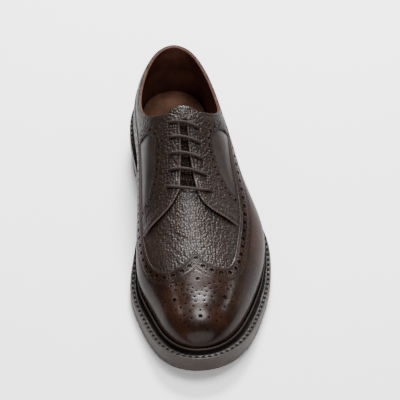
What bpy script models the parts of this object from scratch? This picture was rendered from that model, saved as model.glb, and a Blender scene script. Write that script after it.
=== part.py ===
"""Wingtip derby shoe for the left foot, as an assembly of its leather and sole pieces.

Metres, +Z up. The toe points to -Y, the outer (lateral) side of the foot to +X, and the origin is on the
floor under the middle of the sole. The tables are in millimetres. A station is a distance from the back of
the last along its axis, and a girth is a fraction of the way from the ridge of the last (0) to the feather
edge, where the upper meets the sole (1).
"""
from collections import namedtuple

import bpy
import numpy as np
from mathutils import Vector
from mathutils.geometry import delaunay_2d_cdt

MM = 0.001
GAP = 0.3                   # clearance between pieces that meet

# Leather
WING_THICK = 1.2            # overlay leather
WALL_OUTSIDE = 1.5          # base wall's outer face, below the outer form
WALL_THICK = 1.8            # base wall with its lining
TONGUE_OUTSIDE = 3.8        # tongue's outer face, below the outer form
TONGUE_THICK = 1.8
OVERLAY_INSET = 0.25        # overlays stop this far inside their pattern lines
SEAM_INSET = 1.0            # and this far from the back seam, measured at the feather edge
PATTERN_SPACING = 7.0       # side of a facet on the upper

# Sole
WELT_THICK = 3.2
WELT_INSIDE = 6.0           # welt's inner edge, inside the feather edge
INSOLE_THICK = 2.7
INSOLE_INSIDE = 4.2
EDGE_BEVEL = 1.0            # bevel along the outsole's lower edge
TOP_PIECE_THICK = 6.0
HEEL_INSIDE = 0.8           # heel stack stands this far inside the outsole's edge
BREAST_STATION = 70.0       # front of the heel at its sides
BREAST_HOLLOW = 5.0         # depth of the curve across the heel's front
BREAST_STEPS = np.array([0.25, 0.5, 0.75, 1.0])  # points of that curve, from a side to its middle
BEAD_WIDTH = 2.4            # rounded bead of the welt against the upper
BEAD_FOOT = 0.75            # the bead starts this far outside the feather edge
SOLE_STEPS = 44             # facets along each side of the sole

# Laces
LACE_RADIUS = 1.25
LACE_SKEW = 2.3             # outer eyelets lie this far further forward, inner ones further back

HEEL_FAN_STATION = 34.0     # the ribs of the heel fan out round this station

Section = namedtuple("Section", "name station lateral medial ridge_station ridge_x ridge_z rise "
                     "out_lateral out_medial crown")
SECTIONS = (
    Section("heel back", 0, 0, 0, 20, 0.0, 108, 0.55, 9.0, 9.0, 8),
    Section("heel corner", 4.5, 15.0, 15.6, 22, 0.0, 108, 0.55, 7.6, 7.6, 10),
    Section("heel side", 17, 26.0, 27.4, 27, 0.0, 108, 0.55, 6.2, 6.2, 14),
    Section("seat", 37, 31.6, 33.6, 38, 0.0, 108, 0.55, 6.6, 6.6, 21),
    Section("seat front", 64, 35.0, 34.6, 60, 0.2, 109, 0.55, 9.0, 10.0, 25),
    Section("waist back", 96, 40.2, 32.4, 86, 0.4, 106, 0.54, 12.4, 15.4, 24),
    Section("waist", 128, 48.4, 32.6, 118, 0.2, 89, 0.52, 13.6, 19.0, 23),
    Section("joint back", 160, 58.8, 36.2, 154, 0.0, 71.5, 0.49, 14.6, 18.4, 24),
    Section("joint", 190, 58.6, 40.8, 188, 0.4, 58.8, 0.49, 12.4, 14.0, 28),
    Section("ball", 214, 53.4, 41.3, 213, 1.2, 51.8, 0.50, 8.8, 9.4, 30),
    Section("toe back", 238, 44.8, 36.3, 238, 1.6, 47.2, 0.51, 6.2, 3.4, 29),
    Section("toe box", 261, 34.8, 29.5, 261, 1.0, 43.6, 0.55, 2.1, 2.7, 24.5),
    Section("toe corner", 276, 24.5, 22.2, 276, 0.0, 39.5, 0.58, 0.9, 0.9, 17.5),
    Section("toe front", 285, 12.8, 12.6, 285, -0.6, 31.6, 0.60, 0.3, 0.3, 9.0),
    Section("toe tip", 288, 0, 0, 288, 0.0, 21.6, 0.60, 0, 0, 0),
)
LAST_ROW = len(SECTIONS) - 1

# Heights above the floor along the sole
Height = namedtuple("Height", "station welt_top tread")
HEIGHTS = (
    Height(-8, 33.0, 21.4), Height(0, 33.0, 21.2), Height(36, 32.2, 20.4), Height(64, 31.0, 19.0),
    Height(84, 29.6, 17.2), Height(108, 26.0, 13.6), Height(132, 20.8, 8.4), Height(160, 15.4, 3.2),
    Height(186, 12.6, 0.3), Height(206, 12.0, 0.0), Height(230, 12.9, 0.3), Height(252, 15.2, 1.2),
    Height(272, 18.4, 3.6), Height(288, 21.6, 6.1), Height(300, 24.2, 8.8),
)
FLAT_TREAD = (188.0, 226.0)  # the forefoot stands flat between these stations

# Row number along the last, reach of the sole past the feather edge, height of the welt's bead
Edge = namedtuple("Edge", "row reach bead")
EDGES = (
    Edge(0, 4.6, 1.3), Edge(2, 4.8, 1.3), Edge(4, 4.6, 1.2), Edge(5, 4.4, 1.0), Edge(6, 4.9, 1.0),
    Edge(7, 6.2, 1.3), Edge(8, 7.8, 2.0), Edge(9, 9.3, 2.6), Edge(11, 10.3, 3.0), Edge(14, 10.0, 3.0),
)

# Pattern lines of the upper
Line = namedtuple("Line", "station lateral medial")
COLLAR = (
    Line(109.5, 0.085, 0.085), Line(106.5, 0.15, 0.15), Line(103.5, 0.26, 0.26), Line(98, 0.38, 0.38),
    Line(90, 0.47, 0.47), Line(78, 0.545, 0.545), Line(64, 0.58, 0.58), Line(48, 0.56, 0.56),
    Line(30, 0.51, 0.51), Line(14, 0.455, 0.455), Line(0, 0.43, 0.43),
)
SLOT = (
    Line(109.5, 0.085, 0.085), Line(112, 0.06, 0.06), Line(117, 0.048, 0.048), Line(135, 0.05, 0.05),
    Line(150, 0.072, 0.072), Line(161.5, 0.09, 0.09),
)
FLAP_FRONT = (
    Line(161.5, 0.09, 0.09), Line(168, 0.12, 0.15), Line(173.5, 0.18, 0.235), Line(177.5, 0.27, 0.34),
    Line(180.5, 0.37, 0.46), Line(182.5, 0.47, 0.60),
)
WING_EDGE = (
    Line(207.6, 0.0, 0.0), Line(214.5, 0.045, 0.05), Line(219.6, 0.10, 0.12), Line(222.8, 0.18, 0.21),
    Line(223.2, 0.265, 0.31), Line(219.2, 0.335, 0.40), Line(211.5, 0.378, 0.475), Line(200, 0.405, 0.52),
    Line(181, 0.45, 0.575), Line(155, 0.488, 0.625), Line(126, 0.54, 0.65), Line(96, 0.62, 0.67),
    Line(60, 0.695, 0.70), Line(30, 0.73, 0.73), Line(0, 0.74, 0.74),
)
# The smooth side panel lies behind this edge of the facing
PANEL_EDGE = (
    Line(159, 0.50, 0.655), Line(157, 0.44, 0.54), Line(151, 0.385, 0.45), Line(143, 0.345, 0.405),
    Line(132, 0.318, 0.372), Line(122, 0.315, 0.36), Line(115, 0.35, 0.38), Line(109, 0.42, 0.44),
    Line(105, 0.50, 0.53), Line(101, 0.63, 0.69),
)
TONGUE = (
    Line(172, 0.10, 0.10), Line(160, 0.14, 0.14), Line(135, 0.20, 0.20), Line(115, 0.255, 0.255),
    Line(103, 0.275, 0.275),
)
TONGUE_ARCH = 8.0           # the tongue's top edge is this much higher in its middle
TONGUE_COLUMNS = 8
TONGUE_ROWS = 12

EYELETS = (Line(115.5, 0.15, 0.15), Line(126, 0.15, 0.15), Line(137, 0.162, 0.162), Line(148, 0.182, 0.182),
           Line(159, 0.208, 0.208))

# Colours: name, red, green, blue, roughness
COLOURS = {
    "smooth_leather": (0.050, 0.026, 0.018, 0.32),
    "grained_leather": (0.046, 0.027, 0.021, 0.48),
    "lining": (0.150, 0.060, 0.040, 0.60),
    "welt": (0.022, 0.013, 0.010, 0.50),
    "sole_edge": (0.090, 0.062, 0.048, 0.55),
    "rubber": (0.015, 0.014, 0.013, 0.75),
    "lace": (0.040, 0.026, 0.022, 0.70),
}


def natural_spline(knots, values):
    """Function of a natural cubic spline through the values, one row for each knot."""
    knots = np.asarray(knots, float)
    values = np.asarray(values, float)
    rows = values.reshape(len(knots), -1)
    step = np.diff(knots)
    count = len(knots)
    matrix = np.eye(count)
    right = np.zeros_like(rows)
    for i in range(1, count - 1):
        matrix[i, i - 1:i + 2] = step[i - 1], 2 * (step[i - 1] + step[i]), step[i]
        slope_after = (rows[i + 1] - rows[i]) / step[i]
        slope_before = (rows[i] - rows[i - 1]) / step[i - 1]
        right[i] = 6 * (slope_after - slope_before)
    bend = np.linalg.solve(matrix, right)

    def at(t):
        t = np.asarray(t, float)
        k = np.clip(np.searchsorted(knots, t, side="right") - 1, 0, count - 2)
        h = step[k][..., None]
        left = (knots[k + 1] - t)[..., None]
        past = (t - knots[k])[..., None]
        cubic = (bend[k] * left**3 + bend[k + 1] * past**3) / (6 * h)
        straight = (rows[k] / h - bend[k] * h / 6) * left + (rows[k + 1] / h - bend[k + 1] * h / 6) * past
        return (cubic + straight).reshape(t.shape + values.shape[1:])

    return at


welt_top = natural_spline([row.station for row in HEIGHTS], [row.welt_top for row in HEIGHTS])
tread_curve = natural_spline([row.station for row in HEIGHTS], [row.tread for row in HEIGHTS])
reach_at = natural_spline([row.row for row in EDGES], [row.reach for row in EDGES])
bead_at = natural_spline([row.row for row in EDGES], [row.bead for row in EDGES])


def tread(station):
    """Height of the outsole's underside, flat where the forefoot stands."""
    station = np.asarray(station, float)
    height = np.maximum(tread_curve(station), 0.0)
    return np.where((station > FLAT_TREAD[0]) & (station < FLAT_TREAD[1]), 0.0, height)


class Last:
    """Outer form of the upper: a rib at each section, with smooth curves from heel to toe.

    A row runs from 0 at the heel's back to LAST_ROW at the toe's tip. A girth runs from -1 at the inner
    feather edge over the ridge at 0 to +1 at the outer feather edge. Points are (station, across, height).
    """

    def __init__(self):
        ribs = {side: np.array([self.rib(section, side) for section in SECTIONS]) for side in (1, -1)}
        self.curves = {}
        for side in (1, -1):
            own, other = ribs[side], ribs[-side]
            behind = other[3:0:-1]
            ahead = np.array([self.mirrored_rib(own[-1 - k], other[-1 - k]) for k in (1, 2, 3)])
            rows = np.concatenate([behind, own, ahead])
            self.curves[side] = natural_spline(np.arange(-3, LAST_ROW + 4), rows)
        rows = np.linspace(0, LAST_ROW, 40 * LAST_ROW + 1)
        self.row_table = rows
        self.station_table = self.point(rows, np.ones_like(rows))[:, 0]

    @staticmethod
    def rib(section, side):
        """Four control points of half a section, from the feather edge up to the ridge."""
        half, out = (section.lateral, section.out_lateral) if side > 0 else (section.medial, section.out_medial)
        foot = np.array([section.station, side * half, float(welt_top(section.station)) + GAP])
        top = np.array([section.ridge_station, section.ridge_x, section.ridge_z])
        away = foot[:2] - (max(section.station, HEEL_FAN_STATION), 0)
        size = np.linalg.norm(away)
        away = np.append(away / size, 0) if size > 0 else np.array([0, side, 0])
        shoulder = foot + away * out + (0, 0, section.rise * (top[2] - foot[2]))
        return np.array([foot, shoulder, top + away * section.crown, top])

    @staticmethod
    def mirrored_rib(own, other):
        """Rib beyond the toe's tip, which turns the form over so that the toe closes as a dome."""
        ghost = own.copy()
        ghost[:3, 1] = other[:3, 1]
        ghost[:, 2] = 2 * own[0, 2] - own[:, 2]
        return ghost

    def point(self, row, girth):
        """Points of the form, an array of (station, across, height)."""
        row, girth = np.broadcast_arrays(np.asarray(row, float), np.asarray(girth, float))
        points = np.empty(row.shape + (3,))
        for side in (1, -1):
            pick = girth >= 0 if side > 0 else girth < 0
            rib = self.curves[side](row[pick])
            up = (1 - np.abs(girth[pick]))[:, None]
            down = 1 - up
            points[pick] = (rib[:, 0] * down**3 + 3 * rib[:, 1] * down**2 * up
                            + 3 * rib[:, 2] * down * up**2 + rib[:, 3] * up**3)
        return points

    def normal(self, row, girth):
        """Outward unit normals. At the tip, where the ribs close, the normal points straight ahead."""
        row, girth = np.broadcast_arrays(np.asarray(row, float), np.asarray(girth, float))
        inner = np.minimum(row, LAST_ROW - 0.05)
        along = self.point(inner + 0.01, girth) - self.point(inner - 0.01, girth)
        out = np.clip(girth + 0.004, -1, 1)
        back = np.clip(girth - 0.004, -1, 1)
        across = self.point(inner, out) - self.point(inner, back)
        normal = np.cross(along, across)
        normal /= np.linalg.norm(normal, axis=-1, keepdims=True)
        normal[row > LAST_ROW - 0.02] = (1, 0, 0)
        return normal

    def place(self, row, girth, below):
        """Points of the form, moved a distance below its surface."""
        return self.point(row, girth) - self.normal(row, girth) * below

    def row_of(self, station):
        """Row whose rib starts at a station of the feather edge."""
        return np.interp(station, self.station_table, self.row_table)

    def edge(self, row, side, distance):
        """Points (station, across) at a distance outside the feather edge on one side."""
        row = np.asarray(row, float)
        girth = np.full_like(row, side)
        foot = self.point(row, girth)
        along = self.point(row + 0.01, girth) - self.point(row - 0.01, girth)
        along /= np.linalg.norm(along[:, :2], axis=1, keepdims=True)
        outward = np.stack([-along[:, 1], along[:, 0]], axis=1) * side
        return foot[:, :2] + outward * np.reshape(distance, (-1, 1))

    def lean(self, row, side):
        """How far the upper leans outward just above the feather edge, for each unit of height."""
        rib = self.curves[side](row)
        run = np.linalg.norm(rib[:, 1, :2] - rib[:, 0, :2], axis=1)
        return run / np.maximum(rib[:, 1, 2] - rib[:, 0, 2], 1.0)


class Pattern:
    """The last laid out flat: x is the girth from the ridge, y the way along the feather edge."""

    def __init__(self, last):
        self.rows = last.row_table
        girths = np.linspace(0, 1, 41)
        halves = []
        for side in (1, -1):
            ribs = last.point(self.rows[:, None], side * girths[None, :])
            halves.append(np.linalg.norm(np.diff(ribs, axis=1), axis=2).sum(axis=1))
        self.half = np.mean(halves, axis=0)
        foot = last.point(self.rows, np.ones_like(self.rows))
        self.along = np.concatenate([[0], np.cumsum(np.linalg.norm(np.diff(foot, axis=0), axis=1))])
        self.last = last

    def flat(self, row, girth):
        """Flat points of rows and girths."""
        half = np.interp(row, self.rows, self.half)
        return np.stack([half * girth, np.interp(row, self.rows, self.along) + 0 * half], axis=-1)

    def unflat(self, points):
        """Rows and girths of flat points."""
        row = np.interp(points[:, 1], self.along, self.rows)
        half = np.interp(row, self.rows, self.half)
        return row, np.clip(points[:, 0] / np.maximum(half, 0.001), -1, 1)

    def line(self, table, side):
        """Smooth flat line through a table of stations and girths on one side."""
        rows = self.last.row_of([entry.station for entry in table])
        girths = [entry.lateral if side > 0 else -entry.medial for entry in table]
        knots = self.flat(rows, np.array(girths))
        way = np.concatenate([[0], np.cumsum(np.linalg.norm(np.diff(knots, axis=0), axis=1))])
        return natural_spline(way, knots)(np.linspace(0, way[-1], 20 * len(table)))


def spaced(points, spacing):
    """The same line with its points an even distance apart."""
    way = np.concatenate([[0], np.cumsum(np.linalg.norm(np.diff(points, axis=0), axis=1))])
    count = max(int(round(way[-1] / spacing)), 1)
    marks = np.linspace(0, way[-1], count + 1)
    return np.stack([np.interp(marks, way, points[:, k]) for k in (0, 1)], axis=1)


def inside(points, polygon):
    """Which points lie inside a closed polygon."""
    x, y = points[:, 0, None], points[:, 1, None]
    x0, y0 = polygon[:, 0], polygon[:, 1]
    x1, y1 = np.roll(x0, -1), np.roll(y0, -1)
    crosses = (y0 > y) != (y1 > y)
    rise = np.where(y1 == y0, 1.0, y1 - y0)
    left_of = x < x0 + (y - y0) * (x1 - x0) / rise
    return (crosses & left_of).sum(axis=1) % 2 == 1


def distance_to_lines(points, lines):
    """Distance of each point from the nearest of several lines."""
    best = np.full(len(points), np.inf)
    for line in lines:
        for a, b in zip(line[:-1], line[1:]):
            along = b - a
            t = np.clip((points - a) @ along / (along @ along + 1e-12), 0, 1)
            best = np.minimum(best, np.linalg.norm(points - a - t[:, None] * along, axis=1))
    return best


def staggered_points(polygon, lines, spacing):
    """Points on a triangular grid inside a polygon, clear of its lines."""
    low, high = polygon.min(axis=0), polygon.max(axis=0)
    rows = np.arange(low[1], high[1], spacing * np.sqrt(3) / 2)
    points = []
    for k, y in enumerate(rows):
        x = np.arange(-high[0], high[0], spacing) + spacing / 2 * (k % 2)
        points.append(np.stack([x, np.full_like(x, y)], axis=1))
    points = np.concatenate(points)
    points = points[inside(points, polygon)]
    return points[distance_to_lines(points, lines) > 0.6 * spacing]


class UpperPattern:
    """Facets of the whole upper in the flat, cut along every pattern line, and the panel of each facet."""

    def __init__(self, last):
        self.pattern = Pattern(last)
        flat = self.pattern
        top = np.array([flat.half[-1] * 0, flat.along[-1]])
        feather = np.stack([flat.half, flat.along], axis=1)
        feather[-1] = top
        mirror = np.array([-1, 1])
        self.collar = {side: flat.line(COLLAR, side) for side in (1, -1)}
        self.slot = {side: flat.line(SLOT, side) for side in (1, -1)}
        self.flap = {side: flat.line(FLAP_FRONT, side) for side in (1, -1)}
        self.wing = {side: flat.line(WING_EDGE, side) for side in (1, -1)}
        self.panel = {side: flat.line(PANEL_EDGE, side) for side in (1, -1)}
        seam = np.array([[self.collar[1][-1, 0], 0], [flat.half[0], 0]])
        loop = [
            spaced(seam, PATTERN_SPACING), spaced(feather, PATTERN_SPACING),
            spaced(feather[::-1] * mirror, PATTERN_SPACING), spaced(seam[::-1] * mirror, PATTERN_SPACING),
            spaced(self.collar[-1][::-1], PATTERN_SPACING), spaced(self.slot[-1], PATTERN_SPACING),
            spaced(np.array([self.slot[-1][-1], self.slot[1][-1]]), PATTERN_SPACING),
            spaced(self.slot[1][::-1], PATTERN_SPACING), spaced(self.collar[1], PATTERN_SPACING),
        ]
        self.outline = np.concatenate([part[:-1] for part in loop])
        self.cut()

    def cut(self):
        """Triangulates the outline with all the pattern lines as edges."""
        lines = [np.vstack([self.outline, self.outline[:1]])]
        for side in (1, -1):
            for line in (self.wing[side], self.flap[side], self.panel[side]):
                lines.append(spaced(line, PATTERN_SPACING))
        points = [Vector(p) for p in staggered_points(self.outline, lines, PATTERN_SPACING)]
        edges = []
        for line in lines:
            start = len(points)
            points += [Vector(p) for p in line]
            edges += [(start + k, start + k + 1) for k in range(len(line) - 1)]
        result = delaunay_2d_cdt(points, edges, [], 0, 0.01)
        self.points = np.array([p[:] for p in result[0]])
        faces = np.array([face[:] for face in result[2]])
        middle = self.points[faces].mean(axis=1)
        keep = inside(middle, self.outline)
        self.faces = faces[keep]
        self.middle = middle[keep]

    def region(self, name):
        """Facets of one overlay: the wing cap, or the facing on one side."""
        above_wing = np.vstack([self.wing[1], self.wing[-1][::-1]])
        wing = ~inside(self.middle, above_wing)
        if name == "wing":
            return self.faces[wing]
        side = 1 if name == "lateral" else -1
        far_ahead = np.array([[300, 300], [-300, 300]]) * (side, 1)
        vamp = np.vstack([[0, self.flap[side][0, 1]], self.flap[side], far_ahead])
        panel = np.vstack([self.panel[side], [side * 300, self.panel[side][-1, 1]],
                           [side * 300, self.panel[side][0, 1]]])
        own_side = self.middle[:, 0] * side > 0
        facing = own_side & ~wing & ~inside(self.middle, vamp) & ~inside(self.middle, panel)
        return self.faces[facing]

    def inset(self, faces):
        """Flat points with the rim of some facets drawn in, and drawn in further at the back seam."""
        ways = np.concatenate([faces[:, [0, 1]], faces[:, [1, 2]], faces[:, [2, 0]]])
        known = {tuple(way) for way in ways.tolist()}
        rim = np.array([way for way in ways.tolist() if (way[1], way[0]) not in known])
        along = self.points[rim[:, 1]] - self.points[rim[:, 0]]
        along /= np.linalg.norm(along, axis=1, keepdims=True)
        inward = np.stack([-along[:, 1], along[:, 0]], axis=1)
        moved = np.zeros_like(self.points)
        np.add.at(moved, rim[:, 0], inward)
        np.add.at(moved, rim[:, 1], inward)
        size = np.linalg.norm(moved, axis=1, keepdims=True)
        distance = np.where(self.points[:, 1:] < 0.01, SEAM_INSET, OVERLAY_INSET)
        return self.points + distance * moved / np.maximum(size, 1e-9)


def to_world(points, origin):
    """Points of the last, in millimetres, as points of the part in metres."""
    points = np.asarray(points, float)
    return np.stack([points[..., 1] - origin[1], origin[0] - points[..., 0], points[..., 2]], axis=-1) * MM


def material(name):
    """Plain material of a named colour."""
    if name in bpy.data.materials:
        return bpy.data.materials[name]
    red, green, blue, rough = COLOURS[name]
    made = bpy.data.materials.new(name)
    made.use_nodes = True
    shader = made.node_tree.nodes["Principled BSDF"]
    shader.inputs["Base Color"].default_value = (red, green, blue, 1)
    shader.inputs["Roughness"].default_value = rough
    shader.inputs["Metallic"].default_value = 0
    return made


def add_mesh(shoe, name, points, faces, colour, weld=False):
    """Object of a mesh, shaded smooth, in the shoe's collection."""
    mesh = bpy.data.meshes.new(name)
    mesh.from_pydata([tuple(p) for p in points], [], [tuple(int(k) for k in face) for face in faces])
    mesh.materials.append(material(colour))
    mesh.shade_smooth()
    mesh.set_sharp_from_angle(angle=np.radians(40))
    made = bpy.data.objects.new(name, mesh)
    shoe.objects.link(made)
    if weld:
        joined = made.modifiers.new("back seam", "WELD")
        joined.merge_threshold = 0.05 * MM
    return made


def add_sheet(shoe, name, upper, faces, points, below, thick, colour, origin, weld=False):
    """Leather piece: some facets of the upper, laid on the last and given a thickness inward."""
    used, renumbered = np.unique(faces, return_inverse=True)
    row, girth = upper.pattern.unflat(points[used])
    placed = upper.pattern.last.place(row, girth, below)
    outward = renumbered.reshape(faces.shape)[:, ::-1]
    made = add_mesh(shoe, name, to_world(placed, origin), outward, colour, weld)
    add_thickness(made, thick)
    return made


def add_thickness(made, thick):
    """Solidify inward from the outer face."""
    wall = made.modifiers.new("thickness", "SOLIDIFY")
    wall.thickness = thick * MM
    wall.offset = -1
    wall.use_even_offset = True
    wall.use_quality_normals = True


def sole_rows(first_station, last):
    """Rows spaced evenly along the feather edge, from the heel's back up to a station."""
    pattern_rows = np.linspace(0, last.row_of(first_station), 400)
    foot = last.point(pattern_rows, np.ones_like(pattern_rows))
    way = np.concatenate([[0], np.cumsum(np.linalg.norm(np.diff(foot, axis=0), axis=1))])
    full = SOLE_STEPS if first_station >= SECTIONS[-1].station else SOLE_STEPS // 3
    return np.interp(np.linspace(0, way[-1], full + 1), way, pattern_rows)


def sole_loop(last, rows, distance, height):
    """Closed loop round the sole: the outer side from heel to toe, then the inner side back."""
    halves = []
    for side in (1, -1):
        flat = last.edge(rows, side, np.broadcast_to(distance, rows.shape))
        halves.append(np.column_stack([flat, height(flat[:, 0])]))
    return np.concatenate([halves[0], halves[1][-2:0:-1]])


def loft(loops, front=1):
    """Points and faces of a solid through loops, from the bottom up.

    Strips from the outer to the inner side close its ends, and one last face takes in the middle of each
    loop, as many points to each side of it as front says.
    """
    count = len(loops[0])
    half = count // 2
    faces = []
    for level in range(len(loops) - 1):
        low, high = level * count, (level + 1) * count
        for k in range(count):
            after = (k + 1) % count
            faces.append((low + k, high + k, high + after, low + after))
    for start, bottom in ((0, True), ((len(loops) - 1) * count, False)):
        caps = [[0, 1, count - 1]]
        caps += [[k, k + 1, count - k - 1, count - k] for k in range(1, half - front)]
        caps.append(list(range(half - front, half + front + 1)))
        for cap in caps:
            corners = [start + k for k in (cap if bottom else cap[::-1])]
            faces.append(tuple(corners))
    return np.concatenate(loops), faces


def add_sole_solid(shoe, name, loops, colour, origin, front=1):
    """Solid through loops listed from the bottom up."""
    points, faces = loft(loops, front)
    return add_mesh(shoe, name, to_world(points, origin), faces, colour)


def add_outsole(shoe, last, origin):
    """Outsole: bevelled tread edge, upright side, margin under the welt and the raised middle inside it."""
    rows = sole_rows(SECTIONS[-1].station, last)
    reach = reach_at(rows)
    under_welt = WELT_THICK + GAP
    middle = -WELT_INSIDE - GAP
    loops = [
        sole_loop(last, rows, reach - EDGE_BEVEL, tread),
        sole_loop(last, rows, reach - 0.2 * EDGE_BEVEL, lambda s: tread(s) + EDGE_BEVEL),
        sole_loop(last, rows, reach, lambda s: welt_top(s) - under_welt),
        sole_loop(last, rows, middle, lambda s: welt_top(s) - under_welt),
        sole_loop(last, rows, middle, welt_top),
    ]
    return add_sole_solid(shoe, "outsole", loops, "sole_edge", origin)


def add_insole(shoe, last, origin):
    """Insole: a sheet inside the upper, on the outsole's middle and the welt's inner margin."""
    rows = sole_rows(SECTIONS[-1].station, last)
    loops = [sole_loop(last, rows, -INSOLE_INSIDE, lambda s: welt_top(s) + GAP),
             sole_loop(last, rows, -INSOLE_INSIDE, lambda s: welt_top(s) + GAP + INSOLE_THICK)]
    return add_sole_solid(shoe, "insole", loops, "lining", origin)


def heel_loop(last, distance, height):
    """Loop of the heel: the sole's edge round the back, closed by the hollow curve of the heel's breast."""
    rows = sole_rows(BREAST_STATION, last)
    halves = []
    for side in (1, -1):
        edge = last.edge(rows, side, reach_at(rows) - distance)
        corner = edge[-1]
        beside = 1 - BREAST_STEPS
        hollow = corner[0] * beside + BREAST_STATION * BREAST_STEPS - BREAST_HOLLOW * (1 - beside**2)
        front = np.column_stack([hollow, corner[1] * beside])
        flat = np.vstack([edge, front])
        halves.append(np.column_stack([flat, height(flat[:, 0])]))
    return np.concatenate([halves[0], halves[1][-2:0:-1]])


def add_heel(shoe, last, origin):
    """Heel stack under the seat of the outsole, and the top piece that wears on the floor."""
    stack = [heel_loop(last, 2.2 * HEEL_INSIDE, lambda s: np.full_like(s, TOP_PIECE_THICK + GAP)),
             heel_loop(last, HEEL_INSIDE, lambda s: tread(s) - GAP)]
    front = len(BREAST_STEPS) + 1
    add_sole_solid(shoe, "heel_stack", stack, "sole_edge", origin, front)
    piece = [heel_loop(last, 2.8 * HEEL_INSIDE, np.zeros_like),
             heel_loop(last, 2.2 * HEEL_INSIDE, lambda s: np.full_like(s, TOP_PIECE_THICK))]
    add_sole_solid(shoe, "top_piece", piece, "rubber", origin, front)


def add_welt(shoe, last, origin):
    """Welt: a ring round the whole sole, with a rounded bead that stands against the upper."""
    rows = sole_rows(SECTIONS[-1].station, last)
    profile_rings = []
    bead = bead_at(rows)
    reach = reach_at(rows)
    halves = {1: [], -1: []}
    for side in (1, -1):
        crest = BEAD_FOOT + last.lean(rows, side) * bead
        profile = (
            (-WELT_INSIDE + 0 * rows, -WELT_THICK), (-WELT_INSIDE + 0 * rows, 0.0), (BEAD_FOOT + 0 * rows, 0.0),
            (crest + 0.1, bead), (crest + 0.35 * BEAD_WIDTH, bead + 0.35), (crest + 0.75 * BEAD_WIDTH, 0.7 * bead),
            (crest + BEAD_WIDTH, 0.0), (reach - 0.4, 0.0), (reach, -0.4), (reach, -WELT_THICK),
        )
        for distance, rise in profile:
            flat = last.edge(rows, side, distance)
            halves[side].append(np.column_stack([flat, welt_top(flat[:, 0]) + rise]))
    for outer, inner in zip(halves[1], halves[-1]):
        profile_rings.append(np.concatenate([outer, inner[-2:0:-1]]))
    count = len(profile_rings[0])
    levels = len(profile_rings)
    faces = []
    for level in range(levels):
        here, there = level * count, (level + 1) % levels * count
        for k in range(count):
            after = (k + 1) % count
            faces.append((here + k, here + after, there + after, there + k))
    return add_mesh(shoe, "welt", to_world(np.concatenate(profile_rings), origin), faces, "welt")


def add_tongue(shoe, last, origin):
    """Tongue: a tapered sheet under the facings, with an arched top edge above them."""
    half_at = natural_spline([-row.station for row in TONGUE], [row.lateral for row in TONGUE])
    points = []
    for k in range(TONGUE_ROWS + 1):
        way = k / TONGUE_ROWS
        for column in np.linspace(-1, 1, TONGUE_COLUMNS + 1):
            top = TONGUE[-1].station + TONGUE_ARCH * (column**2 - 0.25)
            station = TONGUE[0].station + (top - TONGUE[0].station) * way
            girth = column * half_at(-max(station, TONGUE[-1].station))
            points.append((float(last.row_of(station)), float(girth)))
    grid = np.array(points)
    placed = last.place(grid[:, 0], grid[:, 1], TONGUE_OUTSIDE)
    across = TONGUE_COLUMNS + 1
    faces = []
    for k in range(TONGUE_ROWS):
        for c in range(TONGUE_COLUMNS):
            corner = k * across + c
            faces.append((corner, corner + 1, corner + across + 1, corner + across))
    made = add_mesh(shoe, "tongue", to_world(placed, origin), faces, "grained_leather")
    add_thickness(made, TONGUE_THICK)


def add_lace_bar(shoe, last, number, eyelets, origin):
    """One straight bar of the lace, over the facings from the inner to the outer eyelet."""
    lift = LACE_RADIUS + GAP
    places = []
    for side, share in ((-1, 1.0), (-1, 0.72), (-1, 0.42), (1, 0.42), (1, 0.72), (1, 1.0)):
        girth = side * share * (eyelets.lateral if side > 0 else eyelets.medial)
        station = eyelets.station + LACE_SKEW * side * share
        above = lift + 0.5 * (1 - share)
        places.append(last.place(last.row_of([station]), np.array([girth]), -above)[0])
    path = bpy.data.curves.new(f"lace_bar_{number}", "CURVE")
    path.dimensions = "3D"
    path.bevel_depth = LACE_RADIUS * MM
    path.bevel_resolution = 2
    path.use_fill_caps = True
    spline = path.splines.new("POLY")
    knots = natural_spline(np.arange(len(places)), to_world(np.array(places), origin))
    route = knots(np.linspace(0, len(places) - 1, 11))
    spline.points.add(len(route) - 1)
    for point, place in zip(spline.points, route):
        point.co = (*place, 1)
    path.materials.append(material("lace"))
    shoe.objects.link(bpy.data.objects.new(f"lace_bar_{number}", path))


def build():
    """Makes the shoe from its last."""
    for old in list(bpy.data.objects):
        bpy.data.objects.remove(old, do_unlink=True)
    shoe = bpy.data.collections.new("wingtip_shoe")
    bpy.context.scene.collection.children.link(shoe)
    last = Last()
    rows = sole_rows(SECTIONS[-1].station, last)
    outline = sole_loop(last, rows, reach_at(rows), welt_top)
    origin = (outline.min(axis=0) + outline.max(axis=0))[:2] / 2

    upper = UpperPattern(last)
    add_sheet(shoe, "upper", upper, upper.faces, upper.points, WALL_OUTSIDE, WALL_THICK, "grained_leather",
              origin, weld=True)
    for name, region, colour in (("wing_cap", "wing", "smooth_leather"),
                                 ("facing_lateral", "lateral", "grained_leather"),
                                 ("facing_medial", "medial", "grained_leather")):
        faces = upper.region(region)
        add_sheet(shoe, name, upper, faces, upper.inset(faces), 0, WING_THICK, colour, origin)
    add_tongue(shoe, last, origin)
    add_insole(shoe, last, origin)
    add_welt(shoe, last, origin)
    add_outsole(shoe, last, origin)
    add_heel(shoe, last, origin)
    for number, eyelets in enumerate(EYELETS, start=1):
        add_lace_bar(shoe, last, number, eyelets, origin)


build()
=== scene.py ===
"""Dresses the left wingtip derby: leather panels with their punching, stitching, lace, welt, sole and heel.

Sizes are in millimetres on the shoe's last, as points (station, across, height). A station runs from the
back of the heel to the toe, across is positive on the outer side of the foot, and height is above the floor.
A girth runs from -1 at the inner feather edge, over the last's ridge at 0, to +1 at the outer feather edge.
"""

import logging
import math
from dataclasses import dataclass, field
from enum import Enum, IntEnum
from typing import Any, Callable, NamedTuple, Sequence

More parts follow.
